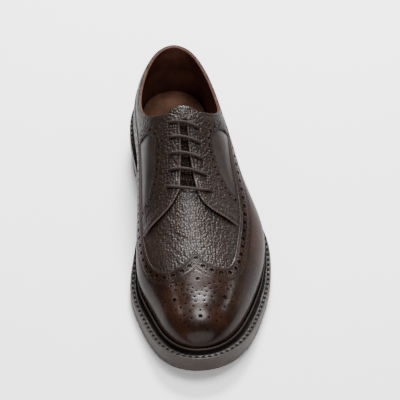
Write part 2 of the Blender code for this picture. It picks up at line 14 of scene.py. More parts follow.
import bmesh
import bpy
import numpy as np
from mathutils import Matrix, Vector, noise
from mathutils.geometry import delaunay_2d_cdt
from mathutils.kdtree import KDTree


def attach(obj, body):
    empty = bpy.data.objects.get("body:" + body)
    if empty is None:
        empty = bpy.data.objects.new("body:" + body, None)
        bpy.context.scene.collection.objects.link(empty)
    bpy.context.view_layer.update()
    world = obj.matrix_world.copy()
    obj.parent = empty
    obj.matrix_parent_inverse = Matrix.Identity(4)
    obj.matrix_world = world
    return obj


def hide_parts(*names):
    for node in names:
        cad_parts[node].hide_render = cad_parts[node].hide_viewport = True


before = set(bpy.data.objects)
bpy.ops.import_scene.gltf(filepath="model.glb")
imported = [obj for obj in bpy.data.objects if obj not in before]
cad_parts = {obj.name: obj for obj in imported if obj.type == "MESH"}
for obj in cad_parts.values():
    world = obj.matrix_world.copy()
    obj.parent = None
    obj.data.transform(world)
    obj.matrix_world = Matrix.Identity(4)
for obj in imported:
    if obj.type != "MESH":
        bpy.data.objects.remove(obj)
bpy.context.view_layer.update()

LOG = logging.getLogger("wingtip_shoe")
MM = 0.001
GAP = 0.3                    # clearance that the solids keep where pieces meet

Array = np.ndarray
Curve = Callable[[Any], Array]
Material = bpy.types.Material
Mesh = bpy.types.Mesh
Node = bpy.types.Node
NodeTree = bpy.types.NodeTree
Socket = bpy.types.NodeSocket
Inputs = dict[str | int, Any]
Look = tuple[Socket, Socket, Socket]


class Side(IntEnum):
    """Sides of the left foot."""

    LATERAL = 1
    MEDIAL = -1


class Slot(Enum):
    """Finishes that the record names."""

    SMOOTH = "smooth_leather"
    GRAINED = "grained_leather"
    LINING = "lining"
    WELT = "welt"
    SOLE = "sole_edge"
    RUBBER = "rubber"
    LACE = "lace"


class Panel(Enum):
    """Leather panels of the upper."""

    VAMP = "vamp"
    WING = "wing"
    FACING = "facing"
    SIDE_PANEL = "side panel"


class Section(NamedTuple):
    """One rib of the last."""

    name: str
    station: float
    lateral: float
    medial: float
    ridge_station: float
    ridge_x: float
    ridge_z: float
    rise: float
    out_lateral: float
    out_medial: float
    crown: float


class Height(NamedTuple):
    """Heights above the floor at a station of the sole."""

    station: float
    welt_top: float
    tread: float


class Edge(NamedTuple):
    """Reach of the sole past the feather edge, and height of the welt's bead, at a row of the last."""

    row: float
    reach: float
    bead: float


class Knot(NamedTuple):
    """Point of a pattern line: a station and its girth on each side."""

    station: float
    lateral: float
    medial: float


class Punch(NamedTuple):
    """Hole of the toe's medallion: a station and the distance from the ridge, mirrored unless it is 0."""

    station: float
    aside: float


def knots(*rows: tuple[float, ...]) -> tuple[Knot, ...]:
    """Knots from rows of a station and its girths, where a lone girth holds on both sides."""
    return tuple(Knot(row[0], row[1], row[-1]) for row in rows)


def punches(*spots: tuple[float, float]) -> tuple[Punch, ...]:
    """Holes from pairs of a station and a distance."""
    return tuple(Punch(*spot) for spot in spots)


SECTIONS = (
    Section("heel back", 0, 0, 0, 20, 0.0, 108, 0.55, 9.0, 9.0, 8),
    Section("heel corner", 4.5, 15.0, 15.6, 22, 0.0, 108, 0.55, 7.6, 7.6, 10),
    Section("heel side", 17, 26.0, 27.4, 27, 0.0, 108, 0.55, 6.2, 6.2, 14),
    Section("seat", 37, 31.6, 33.6, 38, 0.0, 108, 0.55, 6.6, 6.6, 21),
    Section("seat front", 64, 35.0, 34.6, 60, 0.2, 109, 0.55, 9.0, 10.0, 25),
    Section("waist back", 96, 40.2, 32.4, 86, 0.4, 106, 0.54, 12.4, 15.4, 24),
    Section("waist", 128, 48.4, 32.6, 118, 0.2, 89, 0.52, 13.6, 19.0, 23),
    Section("joint back", 160, 58.8, 36.2, 154, 0.0, 71.5, 0.49, 14.6, 18.4, 24),
    Section("joint", 190, 58.6, 40.8, 188, 0.4, 58.8, 0.49, 12.4, 14.0, 28),
    Section("ball", 214, 53.4, 41.3, 213, 1.2, 51.8, 0.50, 8.8, 9.4, 30),
    Section("toe back", 238, 44.8, 36.3, 238, 1.6, 47.2, 0.51, 6.2, 3.4, 29),
    Section("toe box", 261, 34.8, 29.5, 261, 1.0, 43.6, 0.55, 2.1, 2.7, 24.5),
    Section("toe corner", 276, 24.5, 22.2, 276, 0.0, 39.5, 0.58, 0.9, 0.9, 17.5),
    Section("toe front", 285, 12.8, 12.6, 285, -0.6, 31.6, 0.60, 0.3, 0.3, 9.0),
    Section("toe tip", 288, 0, 0, 288, 0.0, 21.6, 0.60, 0, 0, 0),
)
LAST_ROW = len(SECTIONS) - 1
HEEL_FAN_STATION = 34.0      # the ribs of the heel fan out round this station

HEIGHTS = (
    Height(-8, 33.0, 21.4), Height(0, 33.0, 21.2), Height(36, 32.2, 20.4), Height(64, 31.0, 19.0),
    Height(84, 29.6, 17.2), Height(108, 26.0, 13.6), Height(132, 20.8, 8.4), Height(160, 15.4, 3.2),
    Height(186, 12.6, 0.3), Height(206, 12.0, 0.0), Height(230, 12.9, 0.3), Height(252, 15.2, 1.2),
    Height(272, 18.4, 3.6), Height(288, 21.6, 6.1), Height(300, 24.2, 8.8),
)
FLAT_TREAD = (188.0, 226.0)  # the forefoot stands flat between these stations

EDGES = (
    Edge(0, 4.6, 1.3), Edge(2, 4.8, 1.3), Edge(4, 4.6, 1.2), Edge(5, 4.4, 1.0), Edge(6, 4.9, 1.0),
    Edge(7, 6.2, 1.3), Edge(8, 7.8, 2.0), Edge(9, 9.3, 2.6), Edge(11, 10.3, 3.0), Edge(14, 10.0, 3.0),
)

COLLAR = knots(
    (109.5, 0.085), (106.5, 0.15), (103.5, 0.26), (98, 0.38), (90, 0.47), (78, 0.545), (64, 0.58),
    (48, 0.56), (30, 0.51), (14, 0.455), (0, 0.43),
)
SLOT = knots(
    (109.5, 0.085), (112, 0.06), (117, 0.048), (135, 0.05), (150, 0.072), (161.5, 0.09),
)
FLAP_FRONT = knots(
    (161.5, 0.09), (168, 0.12, 0.15), (173.5, 0.18, 0.235), (177.5, 0.27, 0.34), (180.5, 0.37, 0.46),
    (182.5, 0.47, 0.60),
)
WING_EDGE = knots(
    (207.6, 0.0), (214.5, 0.045, 0.05), (219.6, 0.10, 0.12), (222.8, 0.18, 0.21), (223.2, 0.265, 0.31),
    (219.2, 0.335, 0.40), (211.5, 0.378, 0.475), (200, 0.405, 0.52), (181, 0.45, 0.575),
    (155, 0.488, 0.625), (126, 0.54, 0.65), (96, 0.62, 0.67), (60, 0.695, 0.70), (30, 0.73), (0, 0.74),
)
PANEL_EDGE = knots(
    (159, 0.50, 0.655), (157, 0.44, 0.54), (151, 0.385, 0.45), (143, 0.345, 0.405), (132, 0.318, 0.372),
    (122, 0.315, 0.36), (115, 0.35, 0.38), (109, 0.42, 0.44), (105, 0.50, 0.53), (101, 0.63, 0.69),
)
TONGUE_EDGE = knots(
    (172, 0.10), (160, 0.14), (135, 0.20), (115, 0.255), (103, 0.275),
)
EYELETS = knots(
    (115.5, 0.15), (126, 0.15), (137, 0.162), (148, 0.182), (159, 0.208),
)

# Toe medallion, charted: two leaves, a diamond, a pair of curls and a tail, then the larger holes
MEDALLION_SMALL = punches(
    (236.5, 22), (236.3, 17.5), (237.3, 13), (239, 9), (242, 5.2), (245.3, 2.2),
    (238, 26.5), (241.7, 23), (241.4, 18.5), (242, 14), (243.6, 9.7),
    (246.5, 6.2),
    (249.3, 0), (251, 4.2), (255.6, 3.7), (260, 5.5), (263.8, 0),
    (247.7, 12.6), (251.5, 10.4), (256.3, 11.5), (258.8, 15.2), (259.8, 19.5),
    (257.5, 24), (253.2, 26.2), (248.7, 27.5), (244.8, 29.5),
    (264, 8.5), (267, 12.7), (269.2, 16.4), (272.4, 13), (276, 9.6), (279, 5.6),
    (270.4, 7), (277.4, 0),
)
MEDALLION_LARGE = punches((234.2, 0), (250.2, 20.2), (269.5, 0))


def natural_spline(knots: Sequence[float], values: Any) -> Curve:
    """Natural cubic spline.

    Args:
        knots: increasing places along the curve.
        values: one row for each knot.

    Returns:
        A function of a place, or of an array of places.
    """
    knots = np.asarray(knots, float)
    values = np.asarray(values, float)
    rows = values.reshape(len(knots), -1)
    step = np.diff(knots)
    count = len(knots)
    matrix = np.eye(count)
    right = np.zeros_like(rows)
    for i in range(1, count - 1):
        matrix[i, i - 1:i + 2] = step[i - 1], 2 * (step[i - 1] + step[i]), step[i]
        slope_after = (rows[i + 1] - rows[i]) / step[i]
        slope_before = (rows[i] - rows[i - 1]) / step[i - 1]
        right[i] = 6 * (slope_after - slope_before)
    bend = np.linalg.solve(matrix, right)

    def at(place: Any) -> Array:
        """Value of the spline at one place or at several."""
        place = np.asarray(place, float)
        k = np.clip(np.searchsorted(knots, place, side="right") - 1, 0, count - 2)
        h = step[k][..., None]
        left = (knots[k + 1] - place)[..., None]
        past = (place - knots[k])[..., None]
        cubic = (bend[k] * left**3 + bend[k + 1] * past**3) / (6 * h)
        straight = (rows[k] / h - bend[k] * h / 6) * left + (rows[k + 1] / h - bend[k + 1] * h / 6) * past
        return (cubic + straight).reshape(place.shape + values.shape[1:])

    return at


def smoothstep(low: float, high: float, value: Array) -> Array:
    """Share that rises smoothly from 0 at low to 1 at high."""
    t = np.clip((np.asarray(value, float) - low) / (high - low), 0, 1)
    return t * t * (3 - 2 * t)


def bell(distance: Array, width: float) -> Array:
    """Share that falls smoothly from 1 at distance 0."""
    return np.exp(-(distance / width) ** 2)


def path_lengths(points: Array) -> Array:
    """Way along a line at each of its points."""
    return np.concatenate([[0], np.cumsum(np.linalg.norm(np.diff(points, axis=0), axis=1))])


def along_line(places: Any, way: Array, line: Array) -> Array:
    """Points of a line at places along its way."""
    return np.stack([np.interp(places, way, column) for column in line.T], axis=-1)


def closed_loop(halves: Sequence[Array]) -> Array:
    """Loop of two halves that share their ends: along the first and back along the second."""
    return np.concatenate([halves[0], halves[1][-2:0:-1]])


def unit(vectors: Array) -> Array:
    """Vectors of length 1."""
    return vectors / np.maximum(np.linalg.norm(vectors, axis=-1, keepdims=True), 1e-12)


welt_top = natural_spline([row.station for row in HEIGHTS], [row.welt_top for row in HEIGHTS])
tread_curve = natural_spline([row.station for row in HEIGHTS], [row.tread for row in HEIGHTS])
reach_at = natural_spline([row.row for row in EDGES], [row.reach for row in EDGES])
bead_at = natural_spline([row.row for row in EDGES], [row.bead for row in EDGES])


def tread(station: Array) -> Array:
    """Height of the outsole's underside, flat where the forefoot stands."""
    station = np.asarray(station, float)
    height = np.maximum(tread_curve(station), 0.0)
    return np.where((station > FLAT_TREAD[0]) & (station < FLAT_TREAD[1]), 0.0, height)


class ShoeLast:
    """Outer form of the upper: a rib at each section, with smooth curves from heel to toe.

    A row runs from 0 at the heel's back to LAST_ROW at the toe's tip.
    """

    def __init__(self) -> None:
        """Runs smooth curves through the control points of the ribs."""
        ribs = {side: np.array([self.rib(section, side) for section in SECTIONS]) for side in Side}
        self.curves: dict[Side, Curve] = {}
        for side in Side:
            own, other = ribs[side], ribs[Side(-side)]
            behind = other[3:0:-1]
            ahead = np.array([self.mirrored_rib(own[-1 - k], other[-1 - k]) for k in (1, 2, 3)])
            rows = np.concatenate([behind, own, ahead])
            self.curves[side] = natural_spline(np.arange(-3, LAST_ROW + 4), rows)
        self.row_table = np.linspace(0, LAST_ROW, 40 * LAST_ROW + 1)
        self.station_table = self.point(self.row_table, np.ones_like(self.row_table))[:, 0]
        outline = self.sole_loop(self.sole_rows(44), reach_at)
        middle = (outline.min(axis=0) + outline.max(axis=0)) / 2
        self.origin = middle[:2]

    @staticmethod
    def rib(section: Section, side: Side) -> Array:
        """Four control points of half a section, from the feather edge up to the ridge."""
        outer = side is Side.LATERAL
        half, out = (section.lateral, section.out_lateral) if outer else (section.medial, section.out_medial)
        foot = np.array([section.station, side * half, float(welt_top(section.station)) + GAP])
        top = np.array([section.ridge_station, section.ridge_x, section.ridge_z])
        away = foot[:2] - (max(section.station, HEEL_FAN_STATION), 0)
        size = np.linalg.norm(away)
        away = np.append(away / size, 0) if size > 0 else np.array([0, side, 0])
        shoulder = foot + away * out + (0, 0, section.rise * (top[2] - foot[2]))
        return np.array([foot, shoulder, top + away * section.crown, top])

    @staticmethod
    def mirrored_rib(own: Array, other: Array) -> Array:
        """Rib beyond the toe's tip, which turns the form over so that the toe closes as a dome."""
        ghost = own.copy()
        ghost[:3, 1] = other[:3, 1]
        ghost[:, 2] = 2 * own[0, 2] - own[:, 2]
        return ghost

    def point(self, row: Any, girth: Any) -> Array:
        """Points of the form at rows and girths."""
        row, girth = np.broadcast_arrays(np.asarray(row, float), np.asarray(girth, float))
        points = np.empty(row.shape + (3,))
        for side in Side:
            pick = girth >= 0 if side > 0 else girth < 0
            rib = self.curves[side](row[pick])
            up = (1 - np.abs(girth[pick]))[:, None]
            down = 1 - up
            points[pick] = (rib[:, 0] * down**3 + 3 * rib[:, 1] * down**2 * up
                            + 3 * rib[:, 2] * down * up**2 + rib[:, 3] * up**3)
        return points

    def normal(self, row: Any, girth: Any) -> Array:
        """Outward unit normals. At the tip, where the ribs close, the normal points straight ahead."""
        row, girth = np.broadcast_arrays(np.asarray(row, float), np.asarray(girth, float))
        inner = np.minimum(row, LAST_ROW - 0.05)
        along = self.point(inner + 0.01, girth) - self.point(inner - 0.01, girth)
        out = np.clip(girth + 0.004, -1, 1)
        back = np.clip(girth - 0.004, -1, 1)
        normal = unit(np.cross(along, self.point(inner, out) - self.point(inner, back)))
        normal[row > LAST_ROW - 0.02] = (1, 0, 0)
        return normal

    def place(self, row: Any, girth: Any, below: Any) -> Array:
        """Points of the form, moved a distance below its surface."""
        return self.point(row, girth) - self.normal(row, girth) * np.reshape(below, (-1, 1))

    def row_of(self, station: Any) -> Array:
        """Row whose rib starts at a station of the feather edge."""
        return np.interp(station, self.station_table, self.row_table)

    def edge(self, row: Array, side: Side, distance: Any) -> Array:
        """Points (station, across) at a distance outside the feather edge on one side."""
        girth = np.full_like(row, side)
        foot = self.point(row, girth)
        along = unit((self.point(row + 0.01, girth) - self.point(row - 0.01, girth))[:, :2])
        outward = np.stack([-along[:, 1], along[:, 0]], axis=1) * side
        return foot[:, :2] + outward * np.reshape(distance, (-1, 1))

    def lean(self, row: Array, side: Side) -> Array:
        """How far the upper leans outward just above the feather edge, for each unit of height."""
        rib = self.curves[side](row)
        run = np.linalg.norm(rib[:, 1, :2] - rib[:, 0, :2], axis=1)
        return run / np.maximum(rib[:, 1, 2] - rib[:, 0, 2], 1.0)

    def sole_rows(self, steps: int, last_station: float = SECTIONS[-1].station) -> Array:
        """Rows spaced evenly along the feather edge, from the heel's back up to a station."""
        rows = np.linspace(0, self.row_of(last_station), 600)
        way = path_lengths(self.point(rows, np.ones_like(rows)))
        return np.interp(np.linspace(0, way[-1], steps + 1), way, rows)

    def sole_loop(self, rows: Array, distance: Curve, height: Curve = welt_top) -> Array:
        """Closed loop round the sole.

        Args:
            rows: rows of the last, from the heel's back to the toe's tip.
            distance: distance outside the feather edge, as a function of the row.
            height: height above the floor, as a function of the station.

        Returns:
            Points along the outer side from heel to toe, then along the inner side back.
        """
        away = np.broadcast_to(distance(rows), rows.shape)
        flat = closed_loop([self.edge(rows, side, away) for side in Side])
        return np.column_stack([flat, height(flat[:, 0])])

    def to_part(self, points: Array) -> Array:
        """Points of the last as points of the part, in metres."""
        points = np.asarray(points, float)
        moved = [points[..., 1] - self.origin[1], self.origin[0] - points[..., 0], points[..., 2]]
        return np.stack(moved, axis=-1) * MM


class FlatPattern:
    """The last laid out flat: x is the girth from the ridge, y the way along the feather edge."""

    def __init__(self, last: ShoeLast) -> None:
        """Measures the girth of every rib and the way along the feather edge."""
        self.last = last
        self.rows = last.row_table
        girths = np.linspace(0, 1, 41)
        halves = []
        for side in Side:
            ribs = last.point(self.rows[:, None], side * girths[None, :])
            halves.append(np.linalg.norm(np.diff(ribs, axis=1), axis=2).sum(axis=1))
        self.half = np.mean(halves, axis=0)
        self.along = path_lengths(last.point(self.rows, np.ones_like(self.rows)))

    def flat(self, row: Array, girth: Array) -> Array:
        """Flat points of rows and girths."""
        half = np.interp(row, self.rows, self.half)
        return np.stack([half * girth, np.interp(row, self.rows, self.along) + 0 * half], axis=-1)

    def unflat(self, flat: Array) -> tuple[Array, Array]:
        """Rows and girths of flat points."""
        row = np.interp(flat[:, 1], self.along, self.rows)
        half = np.interp(row, self.rows, self.half)
        return row, np.clip(flat[:, 0] / np.maximum(half, 0.001), -1, 1)

    def point(self, flat: Array) -> Array:
        """Points of the form at flat points."""
        return self.last.point(*self.unflat(flat))

    def line(self, table: Sequence[Knot], side: Side) -> Array:
        """Smooth flat line through a table of stations and girths on one side."""
        rows = self.last.row_of([knot.station for knot in table])
        girths = [knot.lateral if side > 0 else -knot.medial for knot in table]
        knots = self.flat(rows, np.array(girths))
        way = path_lengths(knots)
        return natural_spline(way, knots)(np.linspace(0, way[-1], 20 * len(table)))

    def spaced(self, line: Array, spacing: float) -> Array:
        """The same flat line with points an even distance apart on the leather."""
        way = path_lengths(self.point(line))
        count = max(int(round(way[-1] / spacing)), 1)
        return along_line(np.linspace(0, way[-1], count + 1), way, line)

    def stretch(self, flat: Array) -> Array:
        """Upper triangular matrices that turn small flat steps into steps on the leather."""
        step = 0.2
        columns = []
        for axis in np.eye(2) * step:
            columns.append((self.point(flat + axis) - self.point(flat - axis)) / (2 * step))
        size = np.linalg.norm(columns[0], axis=1)
        first = columns[0] / size[:, None]
        shear = (first * columns[1]).sum(axis=1)
        rest = np.linalg.norm(columns[1] - shear[:, None] * first, axis=1)
        return np.stack([np.stack([size, shear], -1), np.stack([0 * size, rest], -1)], axis=-2)

    def beside(self, line: Array, distance: float, side: Side) -> Array:
        """Flat line at a distance on the leather beside another.

        Args:
            line: flat points.
            distance: distance to the left of the line on the outer side, mirrored on the inner.
            side: side of the foot.

        Returns:
            Flat points, one for each point of the line.
        """
        stretch = self.stretch(line)
        along = unit(np.einsum("nij,nj->ni", stretch, np.gradient(line, axis=0)))
        across = np.stack([-along[:, 1], along[:, 0]], axis=1) * distance * side
        return line + np.linalg.solve(stretch, across[..., None])[..., 0]

    def circle(self, centre: Array, radius: float, count: int) -> Array:
        """Flat points of a true circle on the leather."""
        angles = np.linspace(0, 2 * np.pi, count, endpoint=False)
        ring = radius * np.stack([np.cos(angles), np.sin(angles)])
        stretch = self.stretch(centre[None])[0]
        return centre + np.linalg.solve(stretch, ring).T


def inside(points: Array, polygon: Array) -> Array:
    """Which flat points lie inside a closed polygon."""
    odd = np.zeros(len(points), bool)
    x, y = points[:, 0], points[:, 1]
    for (x0, y0), (x1, y1) in zip(polygon, np.roll(polygon, -1, axis=0)):
        if y0 == y1:
            continue
        odd ^= ((y0 > y) != (y1 > y)) & (x < x0 + (y - y0) * (x1 - x0) / (y1 - y0))
    return odd


def tree_of(points: Array) -> KDTree:
    """Search tree of points, flat ones lifted to height 0."""
    tree = KDTree(len(points))
    for k, point in enumerate(points):
        tree.insert((point[0], point[1], point[2] if len(point) > 2 else 0.0), k)
    tree.balance()
    return tree


def nearest(points: Array, targets: Array) -> Array:
    """Distance of each point from the nearest of the targets."""
    if not len(targets):
        return np.full(len(points), np.inf)
    tree = tree_of(targets)
    flat = points.shape[1] == 2
    return np.array([tree.find((p[0], p[1], 0.0 if flat else p[2]))[2] for p in points])


class Hole(NamedTuple):
    """Punched hole: its flat centre, its radius and the panel that it goes through."""

    centre: Array
    radius: float
    panel: Panel


@dataclass
class Punching:
    """Sizes of the holes and how far they lie from the edges of their panels."""

    wing_inset: float = 5.0
    wing_pitch: float = 7.9
    wing_radius: float = 1.75
    peak_shift: float = 2.0
    pair_radius: float = 0.6
    pair_apart: float = 2.5
    facing_inset: float = 3.4
    facing_pitch: float = 6.4
    facing_radius: float = 1.0
    medallion_small: float = 0.8
    medallion_large: float = 1.75
    eyelet_radius: float = 1.5
    wall_depth: float = 1.5


@dataclass
class Seams:
    """Distances of the stitch rows from the edges they hold, and their thread."""

    wing_rows: tuple[float, ...] = (1.4, 8.8, 10.3)
    panel_rows: tuple[float, ...] = (1.4, 5.6)
    front_rows: tuple[float, ...] = (2.2,)
    collar_row: float = 2.4
    pitch: float = 2.4
    length: float = 2.0
    width: float = 0.62
    height: float = 0.46
    channel_depth: float = 0.2
    channel_half: float = 0.6


class PatternLines:
    """The edges of the panels on the flat pattern, and the stitch rows and holes set out from them."""

    def __init__(self, pattern: FlatPattern, punching: Punching, seams: Seams) -> None:
        """Sets out every line, row and hole."""
        self.pattern = pattern
        self.collar, self.slot, self.flap, self.wing, self.panel = (
            {side: pattern.line(table, side) for side in Side}
            for table in (COLLAR, SLOT, FLAP_FRONT, WING_EDGE, PANEL_EDGE))
        self.above_wing = np.vstack([self.wing[Side.LATERAL], self.wing[Side.MEDIAL][::-1]])
        feather = np.stack([pattern.half, pattern.along], axis=1)
        feather[-1, 0] = 0
        mirror = np.array([-1, 1])
        self.feather = {Side.LATERAL: feather, Side.MEDIAL: feather * mirror}
        top = self.collar[Side.LATERAL][-1, 0]
        seam = np.array([[top, 0], [pattern.half[0], 0]])
        self.seam = {Side.LATERAL: seam, Side.MEDIAL: seam * mirror}
        self.wing_rows = self.rows(self.wing, seams.wing_rows, 1)
        self.facing_rows = self.rows(self.panel, seams.panel_rows, -1)
        front = {side: np.vstack([self.slot[side][:-1], self.flap[side]]) for side in Side}
        self.facing_rows += self.rows(front, seams.front_rows, -1)
        self.facing_rows += self.rows(self.collar, (seams.collar_row,), 1)
        self.facing_rows = [self.off_wing(row, seams.collar_row) for row in self.facing_rows]
        self.facing_rows = [row for row in self.facing_rows if len(row) > 4]
        self.holes = self.punched(punching)

    def rows(self, lines: dict[Side, Array], distances: Sequence[float], left: int) -> list[Array]:
        """Flat rows beside the lines of both sides, without the stretches where they would cross.

        Args:
            lines: the edge on each side.
            distances: distance of each row from the edge.
            left: 1 for rows to the left of the outer edge's direction, -1 for the right.

        Returns:
            One flat line for each row and side.
        """
        edges = np.vstack([self.pattern.spaced(line, 0.2) for line in lines.values()])
        edges = self.pattern.point(edges)
        found = []
        for distance in distances:
            for side, line in lines.items():
                row = self.pattern.beside(self.pattern.spaced(line, 0.5), distance * left, side)
                row = row[(row[:, 1] > 0.3) & (row[:, 0] * side > 0)]
                clear = nearest(self.pattern.point(row), edges) > 0.96 * distance
                found.append(row[clear])
        return found

    def off_wing(self, row: Array, margin: float) -> Array:
        """The part of a row that lies above the wing's edge by a margin."""
        edges = np.vstack([self.pattern.spaced(line, 0.5) for line in self.wing.values()])
        clear = nearest(self.pattern.point(row), self.pattern.point(edges)) > margin
        return row[inside(row, self.above_wing) & clear]

    def punched(self, sizes: Punching) -> list[Hole]:
        """Holes of the wing, the facings, the medallion and the eyelets."""
        holes: list[Hole] = []
        for side, row in zip(Side, self.rows(self.wing, (sizes.wing_inset,), 1)):
            marks = self.marks(row, sizes.wing_pitch, 0.5 * sizes.wing_pitch)
            for k, (centre, across) in enumerate(marks):
                if k == 0:
                    centre = centre - (0, sizes.peak_shift)
                if k % 2 == 0 and not (k == 0 and side is Side.MEDIAL):
                    holes.append(Hole(centre, sizes.wing_radius, Panel.WING))
                if k % 2 == 1:
                    for way in (-0.5, 0.5):
                        spot = centre + across * way * sizes.pair_apart
                        holes.append(Hole(spot, sizes.pair_radius, Panel.WING))
        for row in self.rows(self.panel, (sizes.facing_inset,), -1):
            row = self.off_wing(row, sizes.facing_inset)
            for centre, _ in self.marks(row, sizes.facing_pitch, sizes.facing_pitch):
                holes.append(Hole(centre, sizes.facing_radius, Panel.FACING))
        tables = ((MEDALLION_SMALL, sizes.medallion_small), (MEDALLION_LARGE, sizes.medallion_large))
        for table, radius in tables:
            holes += [Hole(spot, radius, Panel.WING) for spot in self.medallion(table)]
        for side in Side:
            for knot in EYELETS:
                holes.append(Hole(self.eyelet(knot, side), sizes.eyelet_radius, Panel.FACING))
        return holes

    def marks(self, row: Array, pitch: float, step: float) -> list[tuple[Array, Array]]:
        """Even marks along a row.

        Args:
            row: flat line.
            pitch: distance of the last mark from the row's end, at least half of it.
            step: distance between marks.

        Returns:
            Flat place of each mark, and the flat step that leads 1 mm across the row there.
        """
        way = path_lengths(self.pattern.point(row))
        places = np.arange(0, way[-1] - 0.5 * pitch, step)
        beside = self.pattern.beside(row, 1.0, Side.LATERAL) - row
        return list(zip(along_line(places, way, row), along_line(places, way, beside)))

    def medallion(self, table: Sequence[Punch]) -> list[Array]:
        """Flat places of the medallion's holes on both sides of the ridge."""
        spots = []
        for punch in table:
            row = self.pattern.last.row_of(punch.station)
            for side in Side if punch.aside else (Side.LATERAL,):
                girths = np.linspace(0, 0.9, 400) * side
                rib = self.pattern.last.point(row, girths)
                aside = np.abs(rib[:, 1] - rib[0, 1])
                girth = np.interp(punch.aside, aside, girths)
                spots.append(self.pattern.flat(np.array([row]), np.array([girth]))[0])
        return spots

    def eyelet(self, knot: Knot, side: Side) -> Array:
        """Flat centre of an eyelet, where a bar of the lace goes down."""
        station = knot.station + Lacing.skew * side * Lacing.eyelet_share
        girth = side * knot.lateral * Lacing.eyelet_share
        return self.pattern.flat(self.pattern.last.row_of([station]), np.array([girth]))[0]


